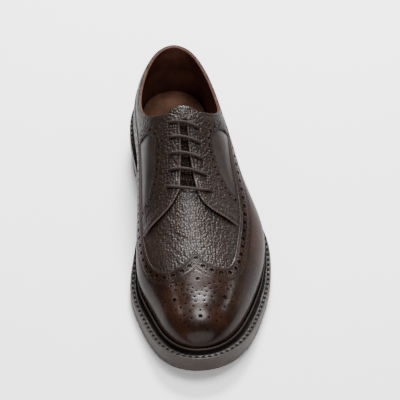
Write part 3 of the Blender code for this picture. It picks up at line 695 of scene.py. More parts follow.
class PatternCut:
    """Facets of the whole upper in the flat, cut along the pattern lines, with a panel for each facet."""

    large_hole = 1.2         # radius past which a hole has more corners
    large_corners = 16
    small_corners = 10
    lip_corners = 14
    lip_away = 0.45
    lip_clear = 0.3
    row_step = 1.0
    beside_row = (0.0, 0.6, -0.6)
    row_clear = 0.4
    edge_step = 0.9
    beside_edge = (0.3, -0.3, 0.8, -0.8)
    edge_clear = 0.22
    hole_clear = 1.2         # share of a hole's radius that the grid keeps off
    grid_clear = 0.62        # share of the grid's spacing that it keeps off other points

    def __init__(self, lines: PatternLines, spacing: float, fine: bool) -> None:
        """Triangulates the pattern.

        Args:
            lines: the pattern's lines.
            spacing: side of a facet.
            fine: whether the edges, stitch rows and holes get points of their own.
        """
        self.lines = lines
        self.pattern = lines.pattern
        self.spacing = spacing
        outline = self.outline()
        self.flat: list[Array] = []
        self.edges: list[tuple[int, int]] = []
        self.ring: list[int] = []
        self.add_line(np.vstack([outline, outline[:1]]))
        if fine:
            self.add_details()
        self.add_grid(outline)
        points = [Vector(p) for p in self.flat]
        result = delaunay_2d_cdt(points, self.edges, [], 0, 1e-3)
        self.points = np.array([p[:] for p in result[0]])
        rings = np.array(self.ring)
        ring = np.array([max((rings[k] for k in source), default=-1) for source in result[3]])
        faces = np.array([face[:] for face in result[2]])
        self.middle = self.points[faces].mean(axis=1)
        keep = inside(self.middle, outline)
        self.faces = faces[keep]
        self.middle = self.middle[keep]
        corners = ring[self.faces]
        same = (corners[:, 0] == corners[:, 1]) & (corners[:, 1] == corners[:, 2])
        self.punched = same & (corners[:, 0] >= 0)
        row, girth = self.pattern.unflat(self.points)
        self.form = self.pattern.last.point(row, girth)
        self.normal = self.pattern.last.normal(row, girth)

    def outline(self) -> Array:
        """Closed outline of the upper: back seam, feather edge, collar and slot."""
        lines, outer, inner = self.lines, Side.LATERAL, Side.MEDIAL
        throat = np.array([lines.slot[inner][-1], lines.slot[outer][-1]])
        parts = [lines.seam[outer], lines.feather[outer], lines.feather[inner][::-1],
                 lines.seam[inner][::-1], lines.collar[inner][::-1], lines.slot[inner], throat,
                 lines.slot[outer][::-1], lines.collar[outer]]
        return np.concatenate([self.pattern.spaced(part, self.spacing)[:-1] for part in parts])

    def add_line(self, line: Array, ring: int = -1) -> None:
        """Adds a line whose steps stay edges of the facets."""
        start = len(self.flat)
        self.flat += list(line)
        self.ring += [ring] * len(line)
        self.edges += [(start + k, start + k + 1) for k in range(len(line) - 1)]

    def add_points(self, points: Array, clearance: float) -> None:
        """Adds loose points that keep a distance from all the points before them."""
        clear = nearest(points, np.array(self.flat)) > clearance
        self.flat += list(points[clear])
        self.ring += [-1] * int(clear.sum())

    def add_details(self) -> None:
        """Adds the panels' edges, the holes, and points beside the edges and stitch rows."""
        lines, pattern = self.lines, self.pattern
        groups = (lines.wing, lines.flap, lines.panel)
        for group in groups:
            for line in group.values():
                self.add_line(pattern.spaced(line, self.spacing))
        for number, hole in enumerate(lines.holes):
            count = self.large_corners if hole.radius > self.large_hole else self.small_corners
            ring = pattern.circle(hole.centre, hole.radius, count)
            self.add_line(np.vstack([ring, ring[:1]]), number)
        for hole in lines.holes:
            lip = pattern.circle(hole.centre, hole.radius + self.lip_away, self.lip_corners)
            self.add_points(lip, self.lip_clear)
        for row in lines.wing_rows + lines.facing_rows:
            if len(row) > 2:
                row = pattern.spaced(row, self.row_step)
                for aside in self.beside_row:
                    self.add_points(pattern.beside(row, aside, Side.LATERAL), self.row_clear)
        for group in (*groups, lines.collar, lines.slot, lines.seam):
            for side, line in group.items():
                line = pattern.spaced(line, self.edge_step)
                for aside in self.beside_edge:
                    self.add_points(pattern.beside(line, aside, side), self.edge_clear)

    def add_grid(self, outline: Array) -> None:
        """Adds points on a triangular grid, clear of everything else."""
        low, high = outline.min(axis=0), outline.max(axis=0)
        grid = []
        for k, y in enumerate(np.arange(low[1], high[1], self.spacing * math.sqrt(3) / 2)):
            x = np.arange(-high[0], high[0], self.spacing) + self.spacing / 2 * (k % 2)
            grid.append(np.stack([x, np.full_like(x, y)], axis=1))
        points = np.concatenate(grid)
        points = points[inside(points, outline)]
        in_hole = np.zeros(len(points), bool)
        for hole in self.lines.holes:
            in_hole |= np.linalg.norm(points - hole.centre, axis=1) < self.hole_clear * hole.radius
        self.add_points(points[~in_hole], self.grid_clear * self.spacing)

    def facets(self, panel: Panel, side: Side | None = None) -> Array:
        """Which facets belong to a panel, holes included."""
        lines = self.lines
        wing = ~inside(self.middle, lines.above_wing)
        if panel is Panel.WING:
            return wing
        far = 300.0
        edge = lines.panel[side]
        leaf = np.vstack([edge, [side * far, edge[-1, 1]], [side * far, edge[0, 1]]])
        own_side = self.middle[:, 0] * side > 0
        in_leaf = own_side & ~wing & inside(self.middle, leaf)
        if panel is Panel.SIDE_PANEL:
            return in_leaf
        flap = lines.flap[side]
        ahead = np.array([[side * far, far * 2], [-side * far, far * 2]])
        vamp = inside(self.middle, np.vstack([[0, flap[0, 1]], flap, ahead]))
        return own_side & ~wing & ~in_leaf & ~vamp


def make_mesh(last: ShoeLast, name: str, points: Array, faces: Sequence[Array],
              materials: Sequence[Material], slots: Sequence[int] = (),
              values: dict[str, Array] | None = None, sharp: float = 42.0) -> Mesh:
    """Mesh of points and groups of faces.

    Args:
        last: the last, which turns the points into points of the part.
        name: name of the mesh.
        points: points on the last.
        faces: arrays of faces, one array for each material slot in slots.
        materials: materials in the order of their slots.
        slots: slot of each group of faces, 0 where none are given.
        values: named values for each point.
        sharp: angle between faces past which an edge stays sharp.

    Returns:
        The mesh, shaded smooth.
    """
    mesh = bpy.data.meshes.new(name)
    groups = [np.asarray(group).tolist() for group in faces]
    mesh.from_pydata(last.to_part(points).tolist(), [], [face for group in groups for face in group])
    for material in materials:
        mesh.materials.append(material)
    if slots:
        numbers = np.concatenate([np.full(len(group), slot) for group, slot in zip(groups, slots)])
        mesh.polygons.foreach_set("material_index", numbers.astype(np.int32))
    for key, value in (values or {}).items():
        mesh.attributes.new(key, "FLOAT", "POINT").data.foreach_set("value", np.asarray(value, np.float32))
    mesh.shade_smooth()
    mesh.set_sharp_from_angle(angle=math.radians(sharp))
    mesh.update()
    return mesh


def put(name: str, data: Any) -> bpy.types.Object:
    """New object in the scene."""
    thing = bpy.data.objects.new(name, data)
    bpy.context.scene.collection.objects.link(thing)
    return thing


def add_piece(name: str, mesh: Mesh, slot: Slot, replaces: Sequence[str] = ()) -> None:
    """Puts a finished mesh in the scene as a piece on the shoe's body.

    Args:
        name: name of the piece.
        mesh: its mesh, already in place.
        slot: finish in the record; not used.
        replaces: solids that it stands for.
    """
    piece = put(name, mesh)
    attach(piece, "root")
    if replaces:
        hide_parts(*replaces)
    LOG.info("%s: %d faces, for %s", name, len(mesh.polygons), ", ".join(replaces) or "no solid")


def rim_of(faces: Array) -> Array:
    """Edges that only one of the triangles has, in that triangle's direction."""
    ways = np.concatenate([faces[:, [0, 1]], faces[:, [1, 2]], faces[:, [2, 0]]])
    size = int(faces.max()) + 1
    own = ways[:, 0] * size + ways[:, 1]
    back = ways[:, 1] * size + ways[:, 0]
    return ways[~np.isin(own, back)]


def rim_walls(rim: Array, count: int) -> Array:
    """Faces that join the edges of a rim to the same edges count points later."""
    return np.stack([rim[:, 1], rim[:, 0], rim[:, 0] + count, rim[:, 1] + count], axis=1)


class Wiring:
    """Adds nodes to one node tree and joins them."""

    def __init__(self, tree: NodeTree) -> None:
        """Keeps the tree."""
        self.tree = tree

    def fill(self, node: Node, inputs: Inputs) -> None:
        """Sets a node's inputs, by name or number, to values or joins them to sockets."""
        for key, value in inputs.items():
            if isinstance(value, Socket):
                self.tree.links.new(value, node.inputs[key])
            else:
                node.inputs[key].default_value = value

    def add(self, kind: str, inputs: Inputs | None = None, **settings: Any) -> Node:
        """Adds a node.

        Args:
            kind: the node's type.
            inputs: values or sockets for its inputs, by name or number.
            settings: properties of the node.

        Returns:
            The node.
        """
        node = self.tree.nodes.new(kind)
        for name, value in settings.items():
            setattr(node, name, value)
        self.fill(node, inputs or {})
        return node

    def out(self, kind: str, inputs: Inputs | None = None, **settings: Any) -> Socket:
        """First output of a new node."""
        return self.add(kind, inputs, **settings).outputs[0]

    def group(self, tree: NodeTree, inputs: dict[str, Any]) -> Any:
        """Outputs of a shared effect with its own values."""
        return self.add("ShaderNodeGroup", inputs, node_tree=tree).outputs

    def math(self, operation: str, first: Any, second: Any = 0.0) -> Socket:
        """Result of a sum on two values."""
        return self.out("ShaderNodeMath", {0: first, 1: second}, operation=operation)

    def vector(self, operation: str, inputs: Inputs) -> Socket:
        """Result of a sum on vectors."""
        return self.out("ShaderNodeVectorMath", inputs, operation=operation)

    def ramp(self, value: Any, low: float, high: float, to_low: float = 0.0, to_high: float = 1.0,
             kind: str = "SMOOTHSTEP") -> Socket:
        """A value moved from one range to another."""
        inputs = {"Value": value, "From Min": low, "From Max": high, "To Min": to_low, "To Max": to_high}
        return self.out("ShaderNodeMapRange", inputs, interpolation_type=kind)

    def blend(self, share: Any, first: Any, second: Any, kind: str = "MIX") -> Socket:
        """Mix of two colours."""
        inputs = {0: share, 6: first, 7: second}
        return self.add("ShaderNodeMix", inputs, data_type="RGBA", blend_type=kind).outputs[2]

    def scaled_place(self, size: Any, stretch: tuple[float, float, float] = (1, 1, 1)) -> Socket:
        """Object coordinates divided by a size in metres, stretched along the axes."""
        place = self.add("ShaderNodeTexCoord").outputs["Object"]
        stretched = self.vector("MULTIPLY", {0: place, 1: stretch})
        return self.vector("SCALE", {0: stretched, "Scale": self.math("DIVIDE", 1.0, size)})

    def noise(self, place: Any, detail: float = 2.0, rough: float = 0.5) -> Socket:
        """Value of a noise with features about 1 unit across."""
        inputs = {"Vector": place, "Scale": 1.0, "Detail": detail, "Roughness": rough}
        return self.out("ShaderNodeTexNoise", inputs)

    def attribute(self, name: str) -> Socket:
        """Named value of the mesh's points."""
        return self.add("ShaderNodeAttribute", attribute_name=name).outputs["Fac"]


def floats(*names: str) -> dict[str, str]:
    """Sockets for numbers."""
    return {name: "Float" for name in names}


def new_tree(name: str, kind: str, inputs: dict[str, str],
             outputs: dict[str, str]) -> tuple[Wiring, Any, Node]:
    """New node tree with named sockets.

    Args:
        name: the tree's name.
        kind: the tree's type.
        inputs: names of its inputs and the ends of their socket types.
        outputs: the same for its outputs.

    Returns:
        Wiring of the tree, the outputs of its input node, and its output node.
    """
    tree = bpy.data.node_groups.new(name, kind)
    for way, sockets in (("INPUT", inputs), ("OUTPUT", outputs)):
        for key, end in sockets.items():
            tree.interface.new_socket(key, in_out=way, socket_type=f"NodeSocket{end}")
    wiring = Wiring(tree)
    return wiring, wiring.add("NodeGroupInput").outputs, wiring.add("NodeGroupOutput")


class Colour(NamedTuple):
    """Linear colour."""

    red: float
    green: float
    blue: float
    alpha: float = 1.0


class ShaderGroups:
    """Effects that several materials share, each built once as a node group."""

    kind = "ShaderNodeTree"
    # Dark colour for burnish and painted shade, then pale colour for painted highlights on edges
    burnished = Colour(0.006, 0.0035, 0.003)
    worn = Colour(0.12, 0.086, 0.070)

    def __init__(self) -> None:
        """Builds the groups."""
        self.tone = self.leather_tone()
        self.pebble = self.pebble_grain()
        self.fine = self.fine_grain()
        self.fibre = self.layered_fibre()

    def leather_tone(self) -> NodeTree:
        """Uneven dye of hand-finished leather: cloudy patches, darker where the mesh marks burnish and
        painted shade, paler where it marks painted highlights.
        """
        inputs = {"Deep": "Color", "Warm": "Color", **floats("Patch Size", "Burnish", "Wear")}
        outputs = {"Color": "Color", **floats("Patch")}
        wiring, given, out = new_tree("leather_tone", self.kind, inputs, outputs)
        clouds = wiring.noise(wiring.scaled_place(given["Patch Size"]), 3.0, 0.55)
        patch = wiring.ramp(clouds, 0.34, 0.68)
        tone = wiring.blend(patch, given["Deep"], given["Warm"])
        speck = wiring.noise(wiring.scaled_place(0.0011))
        tone = wiring.blend(1.0, tone, wiring.ramp(speck, 0.3, 0.75, 0.82, 1.12), "MULTIPLY")
        dimmed = wiring.blend(given["Burnish"], tone, self.burnished)
        wiring.fill(out, {"Color": wiring.blend(given["Wear"], dimmed, self.worn), "Patch": patch})
        return wiring.tree

    def pebble_grain(self) -> NodeTree:
        """Pebbled grain: rounded cells with narrow valleys between them."""
        wiring, given, out = new_tree("pebble_grain", self.kind, floats("Cell Size"),
                                      floats("Height", "Crown"))
        place = wiring.scaled_place(given["Cell Size"])
        waver = wiring.add("ShaderNodeTexNoise", {"Vector": place, "Scale": 1.4, "Detail": 1.0}).outputs[1]
        moved = wiring.vector("ADD", {0: place, 1: wiring.vector("SCALE", {0: waver, "Scale": 0.18})})
        near = wiring.out("ShaderNodeTexVoronoi", {"Vector": moved, "Scale": 1.0, "Randomness": 0.7})
        dome = wiring.ramp(wiring.math("MULTIPLY", near, near), 0.0, 0.75, 1.0, 0.0, "LINEAR")
        swell = wiring.ramp(wiring.noise(wiring.scaled_place(0.006), 1.0), 0.3, 0.7, 0.75, 1.0)
        tall = wiring.math("MULTIPLY", dome, swell)
        pores = wiring.math("MULTIPLY", wiring.noise(wiring.scaled_place(0.0004), 1.0), 0.06)
        wiring.fill(out, {"Height": wiring.math("ADD", tall, pores), "Crown": dome})
        return wiring.tree

    def fine_grain(self) -> NodeTree:
        """Fine pores and hair lines of smooth leather."""
        wiring, given, out = new_tree("fine_grain", self.kind, floats("Pore Size"), floats("Height"))
        place = wiring.scaled_place(given["Pore Size"])
        pores = wiring.noise(place, 3.0, 0.6)
        lines = wiring.add("ShaderNodeTexVoronoi", {"Vector": place, "Scale": 0.55},
                           feature="DISTANCE_TO_EDGE").outputs["Distance"]
        raised = wiring.math("MULTIPLY", wiring.ramp(lines, 0.0, 0.2), 0.35)
        wiring.fill(out, {"Height": wiring.math("ADD", pores, raised)})
        return wiring.tree

    def layered_fibre(self) -> NodeTree:
        """Fine lines along the cut edge of sole leather, which follow the edge's own height."""
        wiring, given, out = new_tree("layered_fibre", self.kind, floats("Line Size", "Edge Height"),
                                      floats("Height", "Shade"))
        place = wiring.add("ShaderNodeTexCoord").outputs["Object"]
        parts = wiring.add("ShaderNodeSeparateXYZ", {0: place}).outputs
        spot = {axis: wiring.math("MULTIPLY", parts[axis], 30.0) for axis in (0, 1)}
        spot[2] = wiring.math("DIVIDE", given["Edge Height"], given["Line Size"])
        lines = wiring.noise(wiring.out("ShaderNodeCombineXYZ", spot), 3.0, 0.6)
        clouds = wiring.math("MULTIPLY", wiring.noise(wiring.scaled_place(0.012), 3.0), 0.4)
        shade = wiring.math("ADD", wiring.math("MULTIPLY", lines, 0.6), clouds)
        wiring.fill(out, {"Height": lines, "Shade": wiring.ramp(shade, 0.32, 0.68)})
        return wiring.tree


@dataclass(frozen=True)
class Finish:
    """What every finish has: a name, its two colours, the depth of its grain in metres and its gloss."""

    name: str
    deep: Colour = Colour(0, 0, 0)
    warm: Colour = Colour(0, 0, 0)
    grain_depth: float = 0.00005
    coat: float = 0.0
    coat_rough: float = 0.2
    specular: float = 0.3

    def look(self, wiring: Wiring, groups: ShaderGroups) -> Look:
        """Colour, roughness and height, which each finish wires in its own way."""
        raise NotImplementedError

    def material(self, groups: ShaderGroups) -> Material:
        """New material with the finish's look, and its constants set on the shader's own sockets."""
        material = bpy.data.materials.new(self.name)
        material.use_nodes = True
        wiring = Wiring(material.node_tree)
        shader = material.node_tree.nodes["Principled BSDF"]
        wiring.fill(shader, {"Coat Weight": self.coat, "Coat Roughness": self.coat_rough,
                             "Specular IOR Level": self.specular})
        colour, rough, height = self.look(wiring, groups)
        relief = {"Height": height, "Distance": self.grain_depth, "Strength": 1.0}
        bump = wiring.out("ShaderNodeBump", relief)
        wiring.fill(shader, {"Normal": bump, "Base Color": colour, "Roughness": rough})
        return material


@dataclass(frozen=True)
class DyedLeather(Finish):
    """Leather with a cloudy dye."""

    patch: float = 0.018
    rough: tuple[float, float] = (0.48, 0.62)

    def tone(self, wiring: Wiring, groups: ShaderGroups) -> Any:
        """Colour and patches of the dye, darkened by burnish and painted shade and lightened by painted
        highlights where the mesh says so.
        """
        marks = {name: wiring.attribute(name.lower()) for name in ("Burnish", "Wear")}
        dye = {"Deep": self.deep, "Warm": self.warm, "Patch Size": self.patch}
        return wiring.group(groups.tone, {**dye, **marks})


@dataclass(frozen=True)
class SmoothLeather(DyedLeather):
    """Smooth leather, waxed and burnished."""

    deep: Colour = Colour(0.0165, 0.0060, 0.0030)
    warm: Colour = Colour(0.038, 0.0145, 0.0072)
    patch: float = 0.026
    rough: tuple[float, float] = (0.22, 0.34)
    grain_depth: float = 0.000016
    wrinkle_depth: float = 0.00016

    def look(self, wiring: Wiring, groups: ShaderGroups) -> Look:
        """Cloudy dye, fine pores and the wrinkles that the mesh marks."""
        tone = self.tone(wiring, groups)
        grain = wiring.group(groups.fine, {"Pore Size": 0.0007})["Height"]
        lines = wiring.noise(wiring.scaled_place(0.0021, (0.22, 1.0, 1.0)))
        wrinkles = wiring.math("MULTIPLY", lines, wiring.attribute("wrinkle"))
        raised = wiring.math("MULTIPLY", wrinkles, self.wrinkle_depth / self.grain_depth)
        scuff = wiring.noise(wiring.scaled_place(0.008), 4.0, 0.6)
        return tone["Color"], wiring.ramp(scuff, 0.3, 0.7, *self.rough), wiring.math("ADD", grain, raised)


@dataclass(frozen=True)
class GrainedLeather(DyedLeather):
    """Pebbled leather with a soft gloss on its grain."""

    deep: Colour = Colour(0.017, 0.0082, 0.0052)
    warm: Colour = Colour(0.030, 0.0145, 0.0090)
    patch: float = 0.03
    cell: float = 0.0022
    rough: tuple[float, float] = (0.55, 0.28)
    grain_depth: float = 0.00050

    def look(self, wiring: Wiring, groups: ShaderGroups) -> Look:
        """Pebbles that shine on their crowns, with painted shade darkening the valleys between them."""
        tone = self.tone(wiring, groups)
        grain = wiring.group(groups.pebble, {"Cell Size": self.cell})
        # Painted shade: the colour darkens towards the valleys between the pebbles
        valley_shade = wiring.ramp(grain["Crown"], 0.0, 0.7, 0.4, 1.0)
        colour = wiring.blend(1.0, tone["Color"], valley_shade, "MULTIPLY")
        return colour, wiring.ramp(grain["Crown"], 0.0, 1.0, *self.rough), grain["Height"]


@dataclass(frozen=True)
class PlainLeather(DyedLeather):
    """Lining, insole, welt and cut edges: one leather with fine grain."""

    deep: Colour = Colour(0.105, 0.036, 0.024)
    warm: Colour = Colour(0.175, 0.066, 0.044)
    pore: float = 0.0008

    def look(self, wiring: Wiring, groups: ShaderGroups) -> Look:
        """Cloudy colour and fine grain."""
        tone = self.tone(wiring, groups)
        grain = wiring.group(groups.fine, {"Pore Size": self.pore})
        return tone["Color"], wiring.ramp(tone["Patch"], 0.0, 1.0, *self.rough), grain["Height"]


@dataclass(frozen=True)
class EdgeLeather(Finish):
    """Cut edge of sole leather: stained, with fine lines along it."""

    deep: Colour = Colour(0.048, 0.034, 0.028)
    warm: Colour = Colour(0.100, 0.074, 0.062)
    line: float = 0.5
    rough: tuple[float, float] = (0.36, 0.52)
    grain_depth: float = 0.00012

    def look(self, wiring: Wiring, groups: ShaderGroups) -> Look:
        """Lines that follow the height that the mesh gives."""
        values = {"Line Size": self.line, "Edge Height": wiring.attribute("edge_height")}
        fibre = wiring.group(groups.fibre, values)
        colour = wiring.blend(fibre["Shade"], self.deep, self.warm)
        return colour, wiring.ramp(fibre["Shade"], 0.0, 1.0, *self.rough), fibre["Height"]


@dataclass(frozen=True)
class Braid(Finish):
    """Waxed round lace."""

    deep: Colour = Colour(0.020, 0.012, 0.010)
    warm: Colour = Colour(0.062, 0.042, 0.036)
    strands: float = 7.0
    pitch: float = 0.0009
    rough: tuple[float, float] = (0.52, 0.70)

    def look(self, wiring: Wiring, groups: ShaderGroups) -> Look:
        """Strands that cross along the piece's own way and turn, darker in colour where they sink: painted
        shade.
        """
        place = wiring.out("ShaderNodeUVMap", uv_map="braid")
        parts = wiring.add("ShaderNodeSeparateXYZ", {0: place}).outputs
        turn = wiring.math("MULTIPLY", parts[1], 2 * math.pi * self.strands)
        way = wiring.math("MULTIPLY", parts[0], math.pi / self.pitch)
        waves = [wiring.math("SINE", wiring.math(sign, way, turn)) for sign in ("ADD", "SUBTRACT")]
        height = wiring.ramp(wiring.math("MAXIMUM", *waves), -0.2, 1.0)
        fuzz = wiring.noise(wiring.scaled_place(0.0005))
        # Painted shade: the colour is darker where the strands sink between each other
        shade = wiring.math("MULTIPLY", height, wiring.ramp(fuzz, 0.2, 0.8, 0.6, 1.0))
        return wiring.blend(shade, self.deep, self.warm), wiring.ramp(fuzz, 0.2, 0.8, *self.rough), height


@dataclass(frozen=True)
class Thread(Finish):
    """Waxed sewing thread."""

    deep: Colour = Colour(0.014, 0.008, 0.0065)
    warm: Colour = Colour(0.042, 0.025, 0.019)
    rough: tuple[float, float] = (0.42, 0.6)

    def look(self, wiring: Wiring, groups: ShaderGroups) -> Look:
        """Uneven dye and a fine twist."""
        fuzz = wiring.noise(wiring.scaled_place(0.0007))
        share = wiring.ramp(fuzz, 0.3, 0.7)
        return wiring.blend(share, self.deep, self.warm), wiring.ramp(share, 0.0, 1.0, *self.rough), fuzz


class Finishes:
    """Every material of the shoe, built once."""

    def __init__(self) -> None:
        """Builds the shared groups and the materials."""
        groups = ShaderGroups()
        self.smooth = SmoothLeather("burnished_leather", coat=0.12).material(groups)
        self.side = SmoothLeather(
            "side_panel_leather", Colour(0.013, 0.0060, 0.0039), Colour(0.025, 0.0112, 0.0069), coat=0.3,
            coat_rough=0.3, specular=0.8, rough=(0.36, 0.48), patch=0.018).material(groups)
        self.grained = GrainedLeather(
            "pebbled_leather", coat=0.12, coat_rough=0.25, specular=0.4).material(groups)
        # Darker, duller copy of the pebbled leather for the tongue between the facings: painted shade
        self.shaded = GrainedLeather(
            "tongue_in_shade", Colour(0.008, 0.0045, 0.0035), Colour(0.013, 0.0075, 0.0055),
            specular=0.06).material(groups)
        self.lining = PlainLeather("lining_leather").material(groups)
        self.insole = PlainLeather(
            "insole_leather", Colour(0.11, 0.05, 0.030), Colour(0.19, 0.092, 0.058)).material(groups)
        self.cut = PlainLeather(
            "cut_edge", Colour(0.06, 0.038, 0.028), Colour(0.14, 0.09, 0.068), patch=0.004).material(groups)
        # Near-black leather for the tubes set inside the punched holes: painted shade
        self.punched = PlainLeather(
            "punched_wall", Colour(0.004, 0.0025, 0.002), Colour(0.012, 0.007, 0.005),
            patch=0.003).material(groups)
        self.welt = PlainLeather(
            "welt_leather", Colour(0.007, 0.005, 0.0042), Colour(0.019, 0.0135, 0.011), patch=0.007,
            rough=(0.42, 0.58), coat=0.06).material(groups)
        self.edge = EdgeLeather("sole_edge_leather", coat=0.12, specular=0.5).material(groups)
        self.rubber = EdgeLeather(
            "heel_rubber", Colour(0.008, 0.0075, 0.007), Colour(0.018, 0.017, 0.016), rough=(0.62, 0.78),
            line=2.0).material(groups)
        self.braid = Braid("lace_braid").material(groups)
        self.thread = Thread("waxed_thread").material(groups)
        self.welt_thread = Thread(
            "welt_thread", Colour(0.006, 0.005, 0.0045), Colour(0.020, 0.016, 0.0135), specular=0.08,
            rough=(0.6, 0.75)).material(groups)


class Repeats:
    """Geometry node trees for what repeats: stitches along rows, and the walls of punched holes."""

    kind = "GeometryNodeTree"
    shape = {"Geometry": "Geometry"}

    def __init__(self) -> None:
        """Builds the trees."""
        self.stitch = self.stitch_run()
        self.wall = self.hole_walls()

    @staticmethod
    def upright(wiring: Wiring) -> Socket:
        """Rotation that stands a copy up along the leather's normal."""
        normal = wiring.out("GeometryNodeInputNamedAttribute", {0: "leather_normal"},
                            data_type="FLOAT_VECTOR")
        return wiring.out("FunctionNodeAlignRotationToVector", {"Vector": normal}, axis="Z")

    @staticmethod
    def end(wiring: Wiring, out: Node, copies: dict[str, Any], material: Any) -> NodeTree:
        """Puts the copies on points, realizes them, shades them smooth and gives them their material."""
        placed = wiring.out("GeometryNodeInstanceOnPoints", copies)
        real = wiring.out("GeometryNodeRealizeInstances", {0: placed})
        smooth = wiring.out("GeometryNodeSetShadeSmooth", {0: real})
        wiring.fill(out, {0: wiring.out("GeometryNodeSetMaterial", {0: smooth, "Material": material})})
        return wiring.tree

    def stitch_run(self) -> NodeTree:
        """Stitches laid end to end along rows whose points carry the leather's normal."""
        sizes = floats("Pitch", "Length", "Width", "Height")
        wiring, given, out = new_tree(
            "stitch_run", self.kind, {**self.shape, **sizes, "Thread": "Material"}, self.shape)
        rows = {"Curve": wiring.out("GeometryNodeMeshToCurve", {0: given["Geometry"]})}
        spots = wiring.out("GeometryNodeResampleCurve", {**rows, "Length": given["Pitch"]}, mode="LENGTH")
        ball = wiring.out("GeometryNodeMeshUVSphere", {"Segments": 8, "Rings": 5, "Radius": 0.5})
        sides = {0: given["Length"], 1: given["Width"], 2: given["Height"]}
        size = wiring.out("ShaderNodeCombineXYZ", sides)
        shaped = wiring.out("GeometryNodeTransform", {"Geometry": ball, "Scale": size})
        along = {"Rotation": self.upright(wiring), "Vector": wiring.out("GeometryNodeInputTangent")}
        turned = wiring.out("FunctionNodeAlignRotationToVector", along, axis="X", pivot_axis="Z")
        copies = {"Points": spots, "Instance": shaped, "Rotation": turned}
        return self.end(wiring, out, copies, given["Thread"])

    def hole_walls(self) -> NodeTree:
        """Walls of punched holes, on points that carry the leather's normal and the hole's radius."""
        wiring, given, out = new_tree(
            "hole_walls", self.kind, {**self.shape, **floats("Depth"), "Wall": "Material"}, self.shape)
        sizes = {"Vertices": 14, "Side Segments": 1, "Radius": 1.0, "Depth": 1.0}
        tube = wiring.out("GeometryNodeMeshCylinder", sizes, fill_type="NONE")
        sunk = wiring.out("GeometryNodeTransform", {"Geometry": tube, "Translation": (0, 0, -0.5)})
        inward = wiring.out("GeometryNodeFlipFaces", {0: sunk})
        radius = wiring.out("GeometryNodeInputNamedAttribute", {0: "radius"}, data_type="FLOAT")
        scale = wiring.out("ShaderNodeCombineXYZ", {0: radius, 1: radius, 2: given["Depth"]})
        copies = {"Points": given["Geometry"], "Instance": inward, "Rotation": self.upright(wiring),
                  "Scale": scale}
        return self.end(wiring, out, copies, given["Wall"])

    @staticmethod
    def run(tree: NodeTree, source: Mesh, values: dict[str, Any]) -> Mesh:
        """Runs a tree on a mesh.

        Args:
            tree: the geometry node tree.
            source: mesh of rows or points.
            values: values of the tree's named inputs.

        Returns:
            The result as a plain mesh.
        """
        carrier = put(source.name, source)
        modifier = carrier.modifiers.new(tree.name, "NODES")
        modifier.node_group = tree
        for item in tree.interface.items_tree:
            if item.in_out == "INPUT" and item.name in values:
                modifier[item.identifier] = values[item.name]
        carrier.update_tag()
        shown = carrier.evaluated_get(bpy.context.evaluated_depsgraph_get())
        made = bpy.data.meshes.new_from_object(shown)
        carrier.modifiers.remove(modifier)
        bpy.data.objects.remove(carrier)
        return made

    @staticmethod
    def source(last: ShoeLast, name: str, points: Array, edges: Sequence[Any], normals: Array) -> Mesh:
        """Mesh of points and edges that carry the leather's normals, turned to the part's axes."""
        mesh = bpy.data.meshes.new(name)
        mesh.from_pydata(last.to_part(points).tolist(), edges, [])
        turned = np.stack([normals[:, 1], -normals[:, 0], normals[:, 2]], axis=1)
        store = mesh.attributes.new("leather_normal", "FLOAT_VECTOR", "POINT")
        store.data.foreach_set("vector", turned.astype(np.float32).ravel())
        return mesh

    def stitches(self, last: ShoeLast, name: str, rows: Sequence[tuple[Array, Array]],
                 sizes: dict[str, float], thread: Material) -> Mesh:
        """Stitches along rows.

        Args:
            last: the last.
            name: name of the mesh.
            rows: points and normals of each row, on the last.
            sizes: pitch, length, width and height of a stitch, in millimetres.
            thread: material of the thread.

        Returns:
            One mesh of all the stitches.
        """
        points, normals = (np.concatenate(parts) for parts in zip(*rows))
        edges = []
        start = 0
        for row, _ in rows:
            edges += [(start + k, start + k + 1) for k in range(len(row) - 1)]
            start += len(row)
        values = {key: value * MM for key, value in sizes.items()}
        mesh = self.source(last, name, points, edges, normals)
        return self.run(self.stitch, mesh, {**values, "Thread": thread})

    def walls(self, last: ShoeLast, name: str, points: Array, normals: Array, radii: Array, depth: float,
              wall: Material) -> Mesh:
        """Walls of holes at points, with their normals and radii."""
        mesh = self.source(last, name, points, [], normals)
        store = mesh.attributes.new("radius", "FLOAT", "POINT")
        store.data.foreach_set("value", (radii * MM).astype(np.float32))
        return self.run(self.wall, mesh, {"Depth": depth * MM, "Wall": wall})


@dataclass(frozen=True)
class BurnishAndPaintedLight:
    """Shares and widths of the burnish and painted shade along seams, of the painted shade low down, of the
    burnish and painted shade in the wing's band, and of the painted highlights on free edges.
    """

    seam: float = 0.40
    seam_width: float = 2.5
    low: float = 0.35
    low_width: float = 7.0
    band: float = 0.22
    band_width: float = 3.5
    darkest: float = 0.8
    # Painted highlights along the facings' free edges and along the wing's edge
    flap_wear_width: float = 0.75
    wing_wear: float = 0.35
    wing_wear_width: float = 0.5


class Crease(NamedTuple):
    """Soft trough across the leather: where its middle is, how long and wide it is, and its depth."""

    station: float
    across: float
    length: float
    width: float
    depth: float
    slant: float


